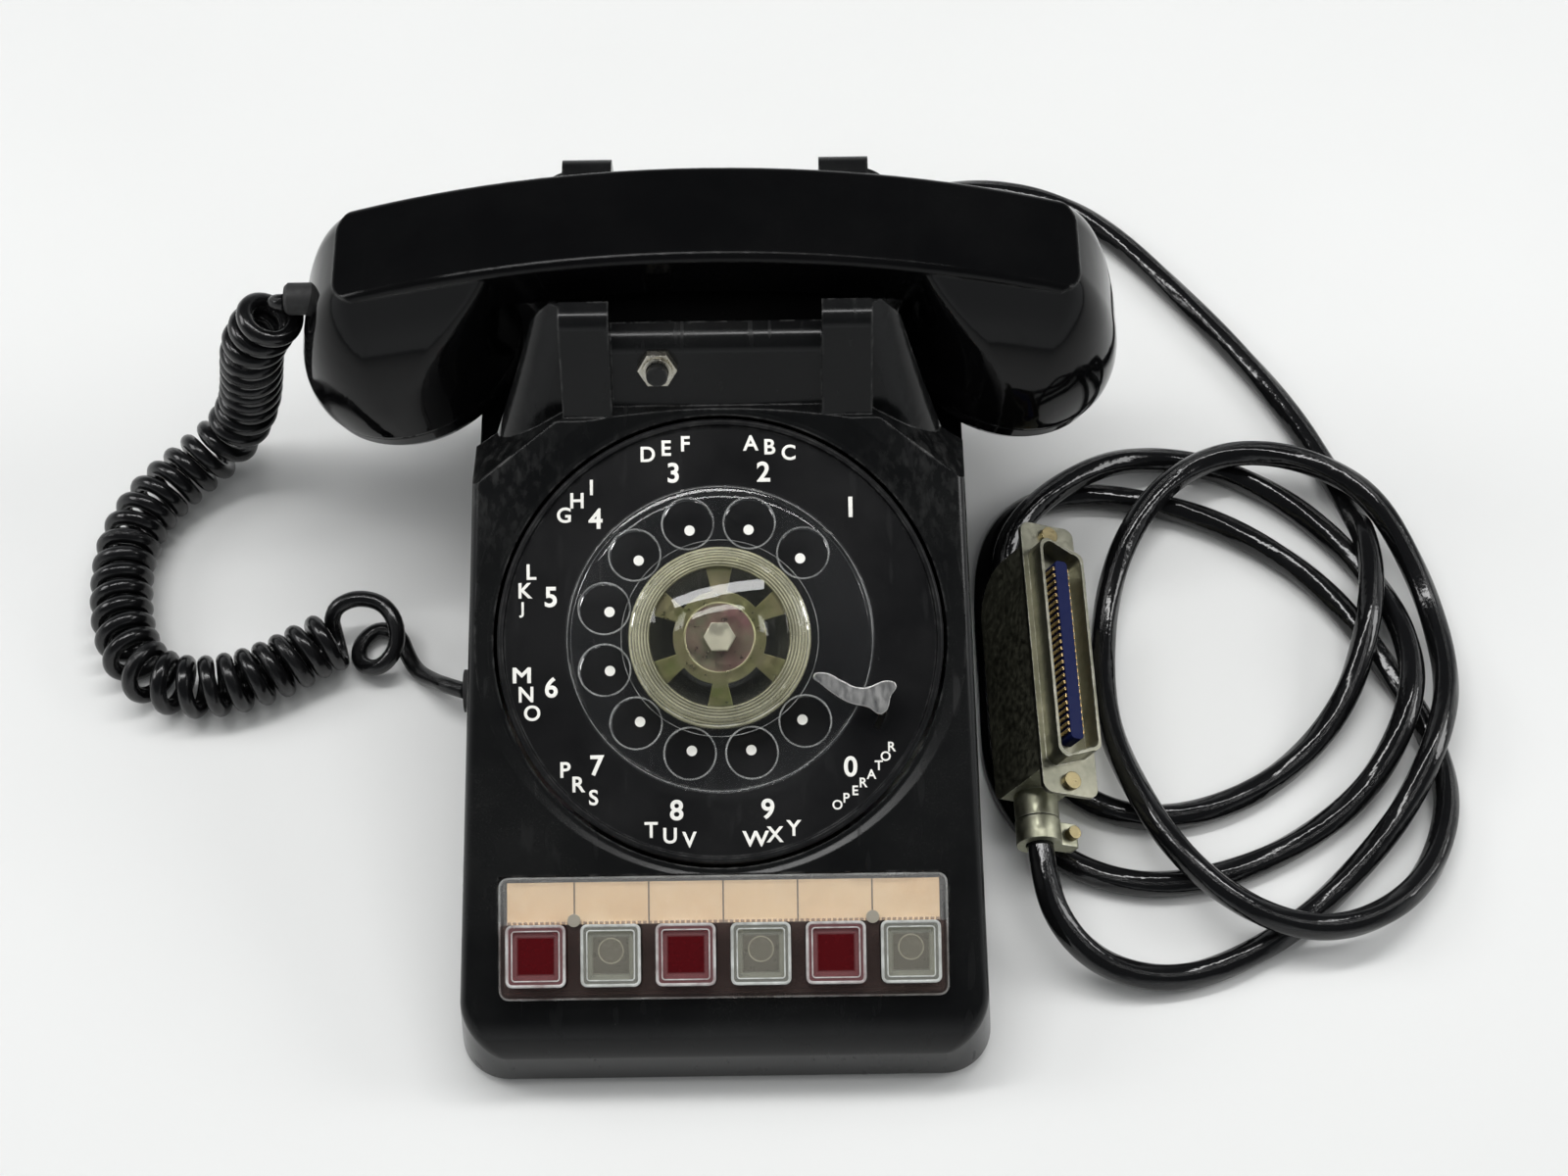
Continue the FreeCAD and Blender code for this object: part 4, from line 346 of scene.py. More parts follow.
def curl_places(axis, cords):
    """Places along the curls about the axis; the turns open out where the axis bends or hangs."""
    room = cords.strand_diameter * 1.125
    most_bend = 0.6
    window = 4
    last = len(axis) - 1
    across = Vector((0, 1, 0))
    frames = []
    turned = [0.0]
    for index, place in enumerate(axis):
        low = axis[max(index - window, 0)]
        high = axis[min(index + window, last)]
        into = place - low if index else high - place
        onto = high - place if index < last else into
        ahead = (into + onto).normalized()
        across = (across - ahead * across.dot(ahead)).normalized()
        frames.append((place, across, ahead.cross(across)))
        if index:
            bend = into.angle(onto) / ((into.length + onto.length) / 2)
            pitch = max(cords.curl_pitch, room / (1 - min(cords.curl_radius * bend, most_bend)))
            if place.z > cords.hang_height:
                pitch *= cords.hang_stretch
            turned.append(turned[-1] + (place - axis[index - 1]).length / pitch)
    scale = cords.curl_turns / turned[-1]
    places = []
    index = 0
    for step in range(int(cords.curl_turns * CURL_STEPS) + 1):
        wanted = min(step / CURL_STEPS / scale, turned[-1])
        while index < last - 1 and turned[index + 1] < wanted:
            index += 1
        rest = (wanted - turned[index]) / (turned[index + 1] - turned[index])
        place, side, rise = [a.lerp(b, rest) for a, b in zip(frames[index], frames[index + 1])]
        angle = 2 * math.pi * step / CURL_STEPS
        places.append(place + (side * math.cos(angle) + rise * math.sin(angle)) * cords.curl_radius)
    return places


def feed(tree, socket, value):
    """Gives a node's input a value or another node's output; a colour may come without its alpha."""
    if isinstance(value, bpy.types.NodeSocket):
        tree.links.new(value, socket)
    elif socket.type == "RGBA":
        socket.default_value = (*value, 1.0)[:4]
    else:
        socket.default_value = value


def add(tree, kind, inputs=None, **settings):
    """New node with its settings and inputs."""
    node = tree.nodes.new("ShaderNode" + kind)
    for key, value in settings.items():
        setattr(node, key, value)
    for key, value in (inputs or {}).items():
        feed(tree, node.inputs[key], value)
    return node


def math_node(tree, operation, first, second=0.0):
    """Result of one sum."""
    return add(tree, "Math", {0: first, 1: second}, operation=operation).outputs[0]


def spread(tree, value, low, high, to_low=0.0, to_high=1.0):
    """Value between low and high, stretched over another range and held inside it."""
    return add(tree, "MapRange", {"Value": value, "From Min": low, "From Max": high, "To Min": to_low,
                                  "To Max": to_high}).outputs["Result"]


def noise(tree, place, scale, detail=3.0, roughness=0.5):
    """Uneven value that drifts about a half."""
    return add(tree, "TexNoise", {"Vector": place, "Scale": scale, "Detail": detail,
                                  "Roughness": roughness}).outputs["Fac"]


def mix_colour(tree, share, first, second):
    """Colour between two, by a share of the second."""
    return add(tree, "Mix", {0: share, 6: first, 7: second}, data_type="RGBA").outputs[2]


def toned(colour, share):
    """Darker or lighter colour."""
    return [part * share for part in colour]


def lightened(colour, share):
    """Lighter colour, held at white."""
    return [min(part, 1.0) for part in toned(colour, share)]


def effect(name, inputs, output):
    """Empty node group with named inputs and one output."""
    tree = bpy.data.node_groups.new(name, "ShaderNodeTree")
    for label, kind, value in inputs:
        socket = tree.interface.new_socket(name=label, in_out="INPUT", socket_type=kind)
        if value is not None:
            socket.default_value = value
    tree.interface.new_socket(name=output, in_out="OUTPUT", socket_type="NodeSocketFloat")
    given = tree.nodes.new("NodeGroupInput").outputs
    result = tree.nodes.new("NodeGroupOutput").inputs[output]
    return tree, given, result


def edge_wear():
    """Mask of rubbed patches along edges."""
    tree, given, result = effect("edge_wear", [
        ("Place", "NodeSocketVector", None), ("Reach", "NodeSocketFloat", 0.0012),
        ("Patch Scale", "NodeSocketFloat", 160.0)], "Mask")
    rounded = add(tree, "Bevel", {"Radius": given["Reach"]}, samples=6)
    flat = add(tree, "NewGeometry")
    normals = {0: rounded.outputs[0], 1: flat.outputs["Normal"]}
    along = add(tree, "VectorMath", normals, operation="DOT_PRODUCT")
    near = spread(tree, along.outputs["Value"], 0.985, 0.90)
    patch = spread(tree, noise(tree, given["Place"], given["Patch Scale"], 4.0, 0.65), 0.46, 0.66)
    tree.links.new(math_node(tree, "MULTIPLY", near, patch), result)
    return tree


def dust_film():
    """Mask of dust that lies on upward faces in patches and specks."""
    tree, given, result = effect("dust_film", [
        ("Place", "NodeSocketVector", None), ("Patch Scale", "NodeSocketFloat", 28.0),
        ("Speck Scale", "NodeSocketFloat", 1500.0)], "Mask")
    facing = add(tree, "SeparateXYZ", {0: add(tree, "TexCoord").outputs["Normal"]}).outputs["Z"]
    up = spread(tree, facing, 0.15, 0.95)
    patch = spread(tree, noise(tree, given["Place"], given["Patch Scale"], 5.0, 0.6), 0.38, 0.72)
    speck = spread(tree, noise(tree, given["Place"], given["Speck Scale"], 2.0), 0.55, 0.78)
    both = math_node(tree, "MULTIPLY_ADD", speck, 0.6)
    both.node.inputs[2].default_value = 0.4
    film = math_node(tree, "MULTIPLY", patch, both)
    tree.links.new(math_node(tree, "MULTIPLY", film, up), result)
    return tree


def fine_scratches():
    """Mask of thin scratches in three directions."""
    tree, given, result = effect("fine_scratches", [
        ("Place", "NodeSocketVector", None), ("Scale", "NodeSocketFloat", 400.0)], "Mask")
    found = None
    for turn in (0.35, 1.45, 2.4):
        laid = add(tree, "Mapping", {"Vector": given["Place"], "Rotation": (0.2, 0.1, turn),
                                     "Scale": (1.0, 0.035, 0.5)})
        fibre = spread(tree, noise(tree, laid.outputs[0], given["Scale"], 1.0), 0.70, 0.76)
        found = fibre if found is None else math_node(tree, "MAXIMUM", found, fibre)
    tree.links.new(found, result)
    return tree


def moulded_grain():
    """Height of a moulding's fine unevenness."""
    tree, given, result = effect("moulded_grain", [
        ("Place", "NodeSocketVector", None), ("Scale", "NodeSocketFloat", 900.0)], "Height")
    fine = noise(tree, given["Place"], given["Scale"], 3.0)
    broad = noise(tree, given["Place"], 60.0, 2.0)
    tree.links.new(math_node(tree, "ADD", fine, broad), result)
    return tree


EFFECTS = {}


def place_effect(tree, name, values):
    """One of the shared effects, placed in a material with its own values."""
    makers = {"edge_wear": edge_wear, "dust_film": dust_film, "fine_scratches": fine_scratches,
              "moulded_grain": moulded_grain}
    if name not in EFFECTS:
        EFFECTS[name] = makers[name]()
    node = tree.nodes.new("ShaderNodeGroup")
    node.node_tree = EFFECTS[name]
    for key, value in values.items():
        feed(tree, node.inputs[key], value)
    return node.outputs[0]


def new_finish(name):
    """Empty material: its tree, its shader and its Object coordinates."""
    material = bpy.data.materials.new(name)
    material.use_nodes = True
    tree = material.node_tree
    shader = tree.nodes["Principled BSDF"]
    return material, tree, shader, add(tree, "TexCoord").outputs["Object"]


def bumped(tree, shader, height, depth, edge=0.0):
    """Raises the finish by a height, with edges that look rounded where an edge is given."""
    inputs = {"Height": height, "Strength": 1.0, "Distance": depth}
    if edge:
        inputs["Normal"] = add(tree, "Bevel", {"Radius": edge}, samples=6).outputs[0]
    tree.links.new(add(tree, "Bump", inputs).outputs[0], shader.inputs["Normal"])


def on_panel(tree, place):
    """Places measured on the sloped panel from the dial's centre: across, up the slope and out of it."""
    flat = add(tree, "Mapping", {"Vector": place, "Location": DIAL_CENTRE, "Rotation": (PANEL_SLOPE, 0, 0)},
               vector_type="TEXTURE").outputs[0]
    return add(tree, "SeparateXYZ", {0: flat}).outputs


def dial_radius(tree, place):
    """Distance from the dial's axis."""
    spot = on_panel(tree, place)
    level = add(tree, "CombineXYZ", {"X": spot["X"], "Y": spot["Y"]}).outputs[0]
    return add(tree, "VectorMath", {0: level}, operation="LENGTH").outputs["Value"]


def rounded_fall(start, curve):
    """Height that falls ever faster outside a radius, as on a domed moulding."""
    def height(tree, place):
        past = math_node(tree, "MAXIMUM", math_node(tree, "SUBTRACT", dial_radius(tree, place), start), 0.0)
        return math_node(tree, "MULTIPLY", math_node(tree, "POWER", past, 2.0), -curve)
    return height


def scuffed_shoulders(tree, place):
    """Mask of the housing's two shoulders, where real scuffs and a painted sheen lighten the moulding."""
    spot = add(tree, "SeparateXYZ", {0: place})
    side = math_node(tree, "ABSOLUTE", spot.outputs["X"])
    folded = add(tree, "CombineXYZ", {"X": side, "Y": spot.outputs["Y"], "Z": spot.outputs["Z"]}).outputs[0]
    away = add(tree, "VectorMath", {0: folded, 1: SHOULDER_SHEEN_SPOT}, operation="DISTANCE").outputs["Value"]
    laid = add(tree, "Mapping", {"Vector": place, "Rotation": (0.0, 0.0, 0.5), "Scale": (1.0, 0.16, 1.0)})
    streak = spread(tree, noise(tree, laid.outputs[0], 420.0, 3.0, 0.55), 0.48, 0.75)
    return math_node(tree, "MULTIPLY", spread(tree, away, 0.030, 0.006), streak)


def black_moulding(name, colour, gloss, dust, wear, edge=0.0006, grain=0.00001, scratch=0.15, scuffs_and_sheen=0.0,
                   shine=0.34):
    """Black plastic with a dusty haze, fine scratches and rubbed edges; where given, real scuffs and a
    painted sheen lighten the shoulders.
    """
    material, tree, shader, place = new_finish(name)
    shader.inputs["Specular IOR Level"].default_value = shine
    film = math_node(tree, "MULTIPLY", place_effect(tree, "dust_film", {"Place": place}), dust)
    lines = place_effect(tree, "fine_scratches", {"Place": place, "Scale": 260.0})
    rubbed = place_effect(tree, "edge_wear", {"Place": place, "Reach": 0.0012})
    rubbed = math_node(tree, "MULTIPLY", rubbed, wear)
    # The shoulders are lightened by real scuffs and a painted sheen, mixed with the rubbed edges.
    if scuffs_and_sheen:
        rubbed = math_node(tree, "MAXIMUM", rubbed,
                           math_node(tree, "MULTIPLY", scuffed_shoulders(tree, place), scuffs_and_sheen))
    tint = noise(tree, place, 14.0, 4.0)
    body = mix_colour(tree, tint, toned(colour, 0.75), toned(colour, 1.35))
    dusty = mix_colour(tree, film, body, (0.16, 0.16, 0.15))
    wear_and_sheen = mix_colour(tree, rubbed, dusty, (0.34, 0.34, 0.33))
    tree.links.new(wear_and_sheen, shader.inputs["Base Color"])
    smear = spread(tree, noise(tree, place, 22.0, 5.0, 0.6), 0.35, 0.75, gloss * 0.75, gloss * 1.5)
    rough = math_node(tree, "MULTIPLY_ADD", film, 0.4)
    tree.links.new(smear, rough.node.inputs[2])
    rough = math_node(tree, "ADD", rough, math_node(tree, "MULTIPLY", lines, scratch))
    rough = math_node(tree, "ADD", rough, math_node(tree, "MULTIPLY", rubbed, 0.25))
    tree.links.new(rough, shader.inputs["Roughness"])
    bumped(tree, shader, place_effect(tree, "moulded_grain", {"Place": place, "Scale": 700.0}), grain, edge)
    return material


def metal(name, colour, second, rough, scale=90.0, stretch=(1.0, 1.0, 1.0), wear=0.0):
    """Metal whose colour drifts between two tones, with fine brushing."""
    material, tree, shader, place = new_finish(name)
    laid = add(tree, "Mapping", {"Vector": place, "Scale": stretch}).outputs[0]
    drift = spread(tree, noise(tree, laid, scale, 5.0, 0.6), 0.35, 0.68)
    tone = mix_colour(tree, drift, colour, second)
    if wear:
        rubbed = place_effect(tree, "edge_wear", {"Place": place, "Reach": 0.0008, "Patch Scale": 300.0})
        tone = mix_colour(tree, math_node(tree, "MULTIPLY", rubbed, wear), tone, (0.78, 0.76, 0.70))
    tree.links.new(tone, shader.inputs["Base Color"])
    shader.inputs["Metallic"].default_value = 1.0
    fine = noise(tree, laid, scale * 9, 3.0)
    tree.links.new(spread(tree, fine, 0.3, 0.7, rough * 0.75, rough * 1.3), shader.inputs["Roughness"])
    bumped(tree, shader, fine, 0.00001, 0.0003)
    return material


def clear_moulding(name, colour, rough, haze, scratch=0.25, clearness=1.0, form=None, veil=None):
    """Clear plastic with scuffs; lamps shine through it. A veil gives places a second, milkier colour."""
    material, tree, shader, place = new_finish(name)
    lines = place_effect(tree, "fine_scratches", {"Place": place, "Scale": 500.0})
    cloud = spread(tree, noise(tree, place, 120.0, 5.0, 0.65), 0.42, 0.72, 0.0, haze)
    blur = math_node(tree, "MULTIPLY_ADD", lines, scratch)
    tree.links.new(math_node(tree, "ADD", cloud, rough), blur.node.inputs[2])
    tree.links.new(blur, shader.inputs["Roughness"])
    tone = mix_colour(tree, noise(tree, place, 60.0, 3.0), colour, lightened(colour, 1.05))
    if veil:
        mask, second = veil
        tone = mix_colour(tree, mask(tree, place), tone, second)
    tree.links.new(tone, shader.inputs["Base Color"])
    shader.inputs["Transmission Weight"].default_value = clearness
    shader.inputs["IOR"].default_value = 1.47
    grain = place_effect(tree, "moulded_grain", {"Place": place, "Scale": 250.0})
    height = math_node(tree, "MULTIPLY", grain, 0.000012)
    if form:
        height = math_node(tree, "ADD", height, form(tree, place))
    bumped(tree, shader, height, 1.0)
    through = add(tree, "BsdfTransparent", {"Color": toned(colour, 0.92)})
    lamp_ray = add(tree, "LightPath").outputs["Is Shadow Ray"]
    mixed = add(tree, "MixShader", {0: lamp_ray, 1: shader.outputs[0], 2: through.outputs[0]})
    tree.links.new(mixed.outputs[0], tree.nodes["Material Output"].inputs["Surface"])
    return material


def key_row(tree, place):
    """Mask of the key row, below the card."""
    return spread(tree, on_panel(tree, place)["Y"], -0.0783, -0.0788)


def key_frames(tree, place):
    """Mask of the key caps' walls, outside their square windows."""
    spot = on_panel(tree, place)
    across = math_node(tree, "PINGPONG", spot["X"], KEY_PITCH / 2)
    across = math_node(tree, "SUBTRACT", KEY_PITCH / 2, across)
    along = math_node(tree, "ABSOLUTE", math_node(tree, "SUBTRACT", spot["Y"], KEY_LEVEL))
    return spread(tree, math_node(tree, "MAXIMUM", across, along), KEY_WINDOW, KEY_WINDOW + 0.0006)


def ridged_skirt(name, colour):
    """Fine ridges round the dial's cap in its yellowed tint; the crests are made more opaque as a painted
    glint of the light they gather, and the valleys are nearly clear.
    """
    material, tree, shader, place = new_finish(name)
    wave = math_node(tree, "PINGPONG", dial_radius(tree, place), 0.00042)
    # Painted glint: the crests are made more opaque than the valleys.
    crest = spread(tree, wave, 0.0001, 0.0004, 0.1, 0.5)
    cloud = spread(tree, noise(tree, place, 90.0, 3.0), 0.3, 0.7, 0.6, 1.2)
    tree.links.new(math_node(tree, "MULTIPLY", crest, cloud), shader.inputs["Alpha"])
    tone = mix_colour(tree, noise(tree, place, 70.0, 3.0), toned(colour, 0.75), colour)
    tree.links.new(tone, shader.inputs["Base Color"])
    tree.links.new(spread(tree, cloud, 0.6, 1.2, 0.14, 0.24), shader.inputs["Roughness"])
    bumped(tree, shader, wave, 0.3)
    return material


def clear_edge(name, colour, thin, thick):
    """Pale bead on a clear moulding's rounded edge, a painted highlight for the light that edge gathers; it
    is seen through more in some places.
    """
    material, tree, shader, place = new_finish(name)
    cloud = noise(tree, place, 160.0, 4.0, 0.6)
    tree.links.new(spread(tree, cloud, 0.36, 0.66, thin, thick), shader.inputs["Alpha"])
    tone = mix_colour(tree, noise(tree, place, 420.0, 3.0), toned(colour, 0.8), lightened(colour, 1.25))
    tree.links.new(tone, shader.inputs["Base Color"])
    tree.links.new(spread(tree, cloud, 0.3, 0.7, 0.12, 0.3), shader.inputs["Roughness"])
    bumped(tree, shader, noise(tree, place, 900.0, 2.0), 0.00002)
    return material


def plain_moulding(name, colour, rough, transmission=0.0, edge=0.0003, shine=0.5):
    """Moulded piece with a slight drift of tone and fine grain."""
    material, tree, shader, place = new_finish(name)
    shader.inputs["Specular IOR Level"].default_value = shine
    tone = mix_colour(tree, noise(tree, place, 45.0, 4.0), toned(colour, 0.82), toned(colour, 1.18))
    tree.links.new(tone, shader.inputs["Base Color"])
    fine = noise(tree, place, 400.0, 3.0)
    tree.links.new(spread(tree, fine, 0.3, 0.7, rough * 0.8, rough * 1.25), shader.inputs["Roughness"])
    shader.inputs["Transmission Weight"].default_value = transmission
    bumped(tree, shader, fine, 0.00002, edge)
    return material


def cord_skin(name, colour, rough):
    """Smooth black cord skin with smears along its run."""
    material, tree, shader, place = new_finish(name)
    along = add(tree, "UVMap", uv_map="run").outputs[0]
    laid = add(tree, "Mapping", {"Vector": along, "Scale": (40.0, 3.0, 1.0)}).outputs[0]
    smear = noise(tree, laid, 1.0, 5.0, 0.65)
    tone = mix_colour(tree, smear, toned(colour, 0.8), toned(colour, 1.6))
    film = math_node(tree, "MULTIPLY", place_effect(tree, "dust_film", {"Place": place}), 0.02)
    tree.links.new(mix_colour(tree, film, tone, (0.2, 0.2, 0.19)), shader.inputs["Base Color"])
    tree.links.new(spread(tree, smear, 0.3, 0.7, rough * 0.7, rough * 1.4), shader.inputs["Roughness"])
    wrinkle = add(tree, "Mapping", {"Vector": along, "Scale": (170.0, 7.0, 1.0), "Rotation": (0, 0, 0.03)})
    creased = noise(tree, wrinkle.outputs[0], 1.0, 3.0, 0.55)
    bumped(tree, shader, creased, 0.00022)
    return material


def ivory_card(name, colour):
    """Card strip divided by thin dark lines, one space for each key."""
    material, tree, shader, place = new_finish(name)
    spot = on_panel(tree, place)
    away = math_node(tree, "PINGPONG", spot["X"], KEY_PITCH / 2)
    line = spread(tree, away, 0.00016, 0.00028, 0.95, 0.0)
    stain = spread(tree, noise(tree, place, 55.0, 6.0, 0.65), 0.4, 0.75)
    aged = mix_colour(tree, stain, colour, [colour[0] * 0.9, colour[1] * 0.82, colour[2] * 0.72])
    fibre = noise(tree, place, 1800.0, 3.0)
    aged = mix_colour(tree, math_node(tree, "MULTIPLY", fibre, 0.18), aged, (0.55, 0.42, 0.27))
    aged = mix_colour(tree, line, aged, (0.05, 0.035, 0.025))
    tooth = spread(tree, math_node(tree, "PINGPONG", spot["X"], 0.00075), 0.0002, 0.0003)
    foot = math_node(tree, "MULTIPLY", tooth, spread(tree, spot["Y"], -0.0776, -0.0778))
    aged = mix_colour(tree, math_node(tree, "MULTIPLY", foot, 0.8), aged, (0.12, 0.06, 0.035))
    tree.links.new(aged, shader.inputs["Base Color"])
    tree.links.new(spread(tree, fibre, 0.3, 0.7, 0.5, 0.75), shader.inputs["Roughness"])
    bumped(tree, shader, fibre, 0.00003)
    return material


def rainbow_plating(name):
    """Yellow-green plating with pink drifts and a greyer disc round the screw."""
    material, tree, shader, place = new_finish(name)
    radius = dial_radius(tree, place)
    drift = spread(tree, noise(tree, place, 75.0, 4.0, 0.6), 0.32, 0.7)
    green = mix_colour(tree, drift, (0.25, 0.27, 0.12), (0.46, 0.39, 0.28))
    pink = mix_colour(tree, drift, (0.40, 0.19, 0.23), (0.29, 0.33, 0.24))
    tone = mix_colour(tree, spread(tree, radius, 0.0097, 0.0094), green, pink)
    off_step = math_node(tree, "ABSOLUTE", math_node(tree, "SUBTRACT", radius, 0.0096))
    step = spread(tree, off_step, 0.0003, 0.00015)
    tone = mix_colour(tree, math_node(tree, "MULTIPLY", step, 0.7), tone, (0.75, 0.72, 0.5))
    tone = mix_colour(tree, spread(tree, radius, 0.0184, 0.0196, 0.0, 0.85), tone, (0.03, 0.03, 0.02))
    tree.links.new(tone, shader.inputs["Base Color"])
    shader.inputs["Metallic"].default_value = 1.0
    grain = noise(tree, place, 500.0, 4.0)
    tree.links.new(spread(tree, grain, 0.3, 0.7, 0.26, 0.42), shader.inputs["Roughness"])
    bumped(tree, shader, step, 0.00008, 0.0003)
    return material


def finish_of(material, *names):
    """Gives CAD nodes their material."""
    for name in names:
        for slot in NODES[name].material_slots:
            slot.material = material


def ridden(thing, material, body):
    """A finished new piece: its material and the body it moves with."""
    thing.data.materials.clear()
    thing.data.materials.append(material)
    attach(thing, body)
    return thing


def named(thing, name):
    """The piece with its name, on its mesh too."""
    thing.name = name
    thing.data.name = name
    return thing


def joined(context, things, name):
    """One piece from several, with its own name."""
    bpy.ops.object.select_all(action="DESELECT")
    for each in things:
        each.select_set(True)
    context.view_layer.objects.active = things[0]
    bpy.ops.object.join()
    return named(context.object, name)


def settled(context, name, turn):
    """The active object with its place in its vertices."""
    thing = named(context.object, name)
    thing.matrix_world = turn
    context.view_layer.update()
    thing.data.transform(thing.matrix_world)
    thing.matrix_world = Matrix.Identity(4)
    return thing


def copies(context, places):
    """Copies of the active object on the panel, each with its own name, place and mesh."""
    model = context.object
    made = []
    for name, at in places.items():
        mesh = model.data.copy()
        mesh.transform(PANEL @ Matrix.Translation(at))
        thing = named(bpy.data.objects.new(name, mesh), name)
        context.scene.collection.objects.link(thing)
        made.append(thing)
    bpy.data.meshes.remove(model.data)
    return made


def on_circle(radius, degrees, level):
    """Place on the panel at an angle clockwise from the dial's top."""
    turn = math.radians(degrees)
    return Vector((radius * math.sin(turn), radius * math.cos(turn), level))


def key_places(family, level, numbers=tuple(KEYS), shift=0.0):
    """Names and places of a piece that each of these keys has."""
    return {"%s_%d" % (family, number): (KEYS[number], KEY_LEVEL + shift, level) for number in numbers}


def soften(width, segments):
    """Rounds every edge of the active object."""
    bpy.ops.object.mode_set(mode="EDIT")
    bpy.ops.mesh.select_all(action="SELECT")
    bpy.ops.mesh.bevel(offset=width, segments=segments, affect="EDGES")
    bpy.ops.object.mode_set(mode="OBJECT")


def disc(radius, depth, edge, vertices):
    """Thin round disc with soft edges."""
    bpy.ops.object.select_all(action="DESELECT")
    bpy.ops.mesh.primitive_cylinder_add(vertices=vertices, radius=radius, depth=depth)
    soften(edge, 2)


def rounded_sheet(context, sides, corner, segments):
    """Flat rectangle with round corners, left in edit mode with its face selected."""
    bpy.ops.object.select_all(action="DESELECT")
    bpy.ops.mesh.primitive_plane_add(size=1.0)
    context.object.scale = (*sides, 1.0)
    bpy.ops.object.transform_apply(location=False, rotation=False, scale=True)
    bpy.ops.object.mode_set(mode="EDIT")
    bpy.ops.mesh.select_all(action="SELECT")
    bpy.ops.mesh.bevel(offset=corner, segments=segments, affect="VERTICES")


def beaded(context, thickness):
    """Turns the active curve into a round bead."""
    context.object.data.bevel_depth = thickness
    context.object.data.bevel_resolution = 3
    bpy.ops.object.convert(target="MESH")
    bpy.ops.object.shade_smooth()


def ring(context, radius, thickness):
    """Round bead along a circle."""
    bpy.ops.object.select_all(action="DESELECT")
    bpy.ops.curve.primitive_bezier_circle_add(radius=radius)
    context.object.data.resolution_u = max(14, int(radius * 900))
    beaded(context, thickness)


def frame_bead(context, sides, corner, thickness):
    """Round bead along a rectangle with round corners."""
    rounded_sheet(context, sides, corner, 5)
    bpy.ops.mesh.delete(type="ONLY_FACE")
    bpy.ops.object.mode_set(mode="OBJECT")
    bpy.ops.object.convert(target="CURVE")
    context.object.data.dimensions = "3D"
    beaded(context, thickness)


class StageOperator(bpy.types.Operator):
    """Camera, floor and lamps"""

    bl_idname = "telephone.stage"
    bl_label = "Stage"

    def execute(self, context):
        stage = context.scene.telephone_stage
        scene = context.scene
        scene.view_settings.view_transform = "Standard"
        camera_data = bpy.data.cameras.new("camera")
        camera_data.sensor_width = 36.0
        camera_data.lens = stage.lens
        camera_data.clip_start = 0.01
        camera = bpy.data.objects.new("camera", camera_data)
        slope, roll = stage.camera_slope, stage.camera_roll
        ahead = Vector((0, math.cos(slope), -math.sin(slope)))
        level = Vector((1, 0, 0))
        down = Vector((0, -math.sin(slope), -math.cos(slope)))
        right = level * math.cos(roll) + down * math.sin(roll)
        below = down * math.cos(roll) - level * math.sin(roll)
        turn = Matrix((right, -below, -ahead)).transposed().to_4x4()
        camera.matrix_world = Matrix.Translation(stage.camera_place) @ turn
        scene.collection.objects.link(camera)
        scene.camera = camera
        bpy.ops.object.select_all(action="DESELECT")
        bpy.ops.mesh.primitive_plane_add(size=stage.floor_reach)
        floor = context.object
        floor.name = "floor"
        paint, tree, shader, place = new_finish("floor")
        tone = mix_colour(tree, noise(tree, place, 9.0, 5.0), toned(stage.floor_colour, 0.97),
                          lightened(stage.floor_colour, 1.02))
        tree.links.new(tone, shader.inputs["Base Color"])
        shader.inputs["Roughness"].default_value = 0.55
        floor.data.materials.append(paint)
        self.light_room(scene)
        return {"FINISHED"}

    def light_room(self, scene):
        world = bpy.data.worlds.new("room")
        world.use_nodes = True
        tree = world.node_tree
        upward = add(tree, "SeparateXYZ", {0: add(tree, "TexCoord").outputs["Generated"]}).outputs["Z"]
        ceiling = spread(tree, upward, 0.06, 0.5)
        tone = mix_colour(tree, ceiling, (0.76, 0.78, 0.79), (0.07, 0.075, 0.08))
        tree.links.new(tone, tree.nodes["Background"].inputs["Color"])
        scene.world = world
        lamps = [("lamp_above", (-0.06, 0.32, 1.3), 1.5, 0.15, 9.0, True),
                 ("lamp_left", (-1.3, 0.25, 1.0), 0.6, 0.6, 6.5, True),
                 ("lamp_right", (1.35, 0.15, 0.9), 0.6, 0.6, 7.5, True),
                 ("lamp_fill", (0, 0, 1.6), 2.4, 2.4, 17.0, False)]
        for name, place, width, depth, power, mirrored in lamps:
            data = bpy.data.lights.new(name, "AREA")
            data.shape = "RECTANGLE"
            data.size = width
            data.size_y = depth
            data.energy = power
            lamp = bpy.data.objects.new(name, data)
            aim = (Vector((0, 0, 0.05)) - Vector(place)).to_track_quat("-Z", "Y").to_matrix().to_4x4()
            lamp.matrix_world = Matrix.Translation(place) @ aim
            lamp.visible_glossy = mirrored
            lamp.visible_transmission = mirrored
            scene.collection.objects.link(lamp)


class CableOperator(bpy.types.Operator):
    """Line cable in its loops on the floor"""

    bl_idname = "telephone.line_cable"
    bl_label = "Line cable"

    def execute(self, context):
        cords = context.scene.telephone_cords
        colours = context.scene.telephone_colours
        line = evenly(spline_points(metres(CABLE_ROUTE), 24), 0.0014)
        cable = tube("cable", line, cords.cable_diameter / 2, 24, cords.lay_depth, cords.lay_pitch,
                     CABLE_CORES)
        ridden(cable, cord_skin("cable_skin", colours.cord, 0.11), "phone_body")
        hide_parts("line_cable")
        return {"FINISHED"}


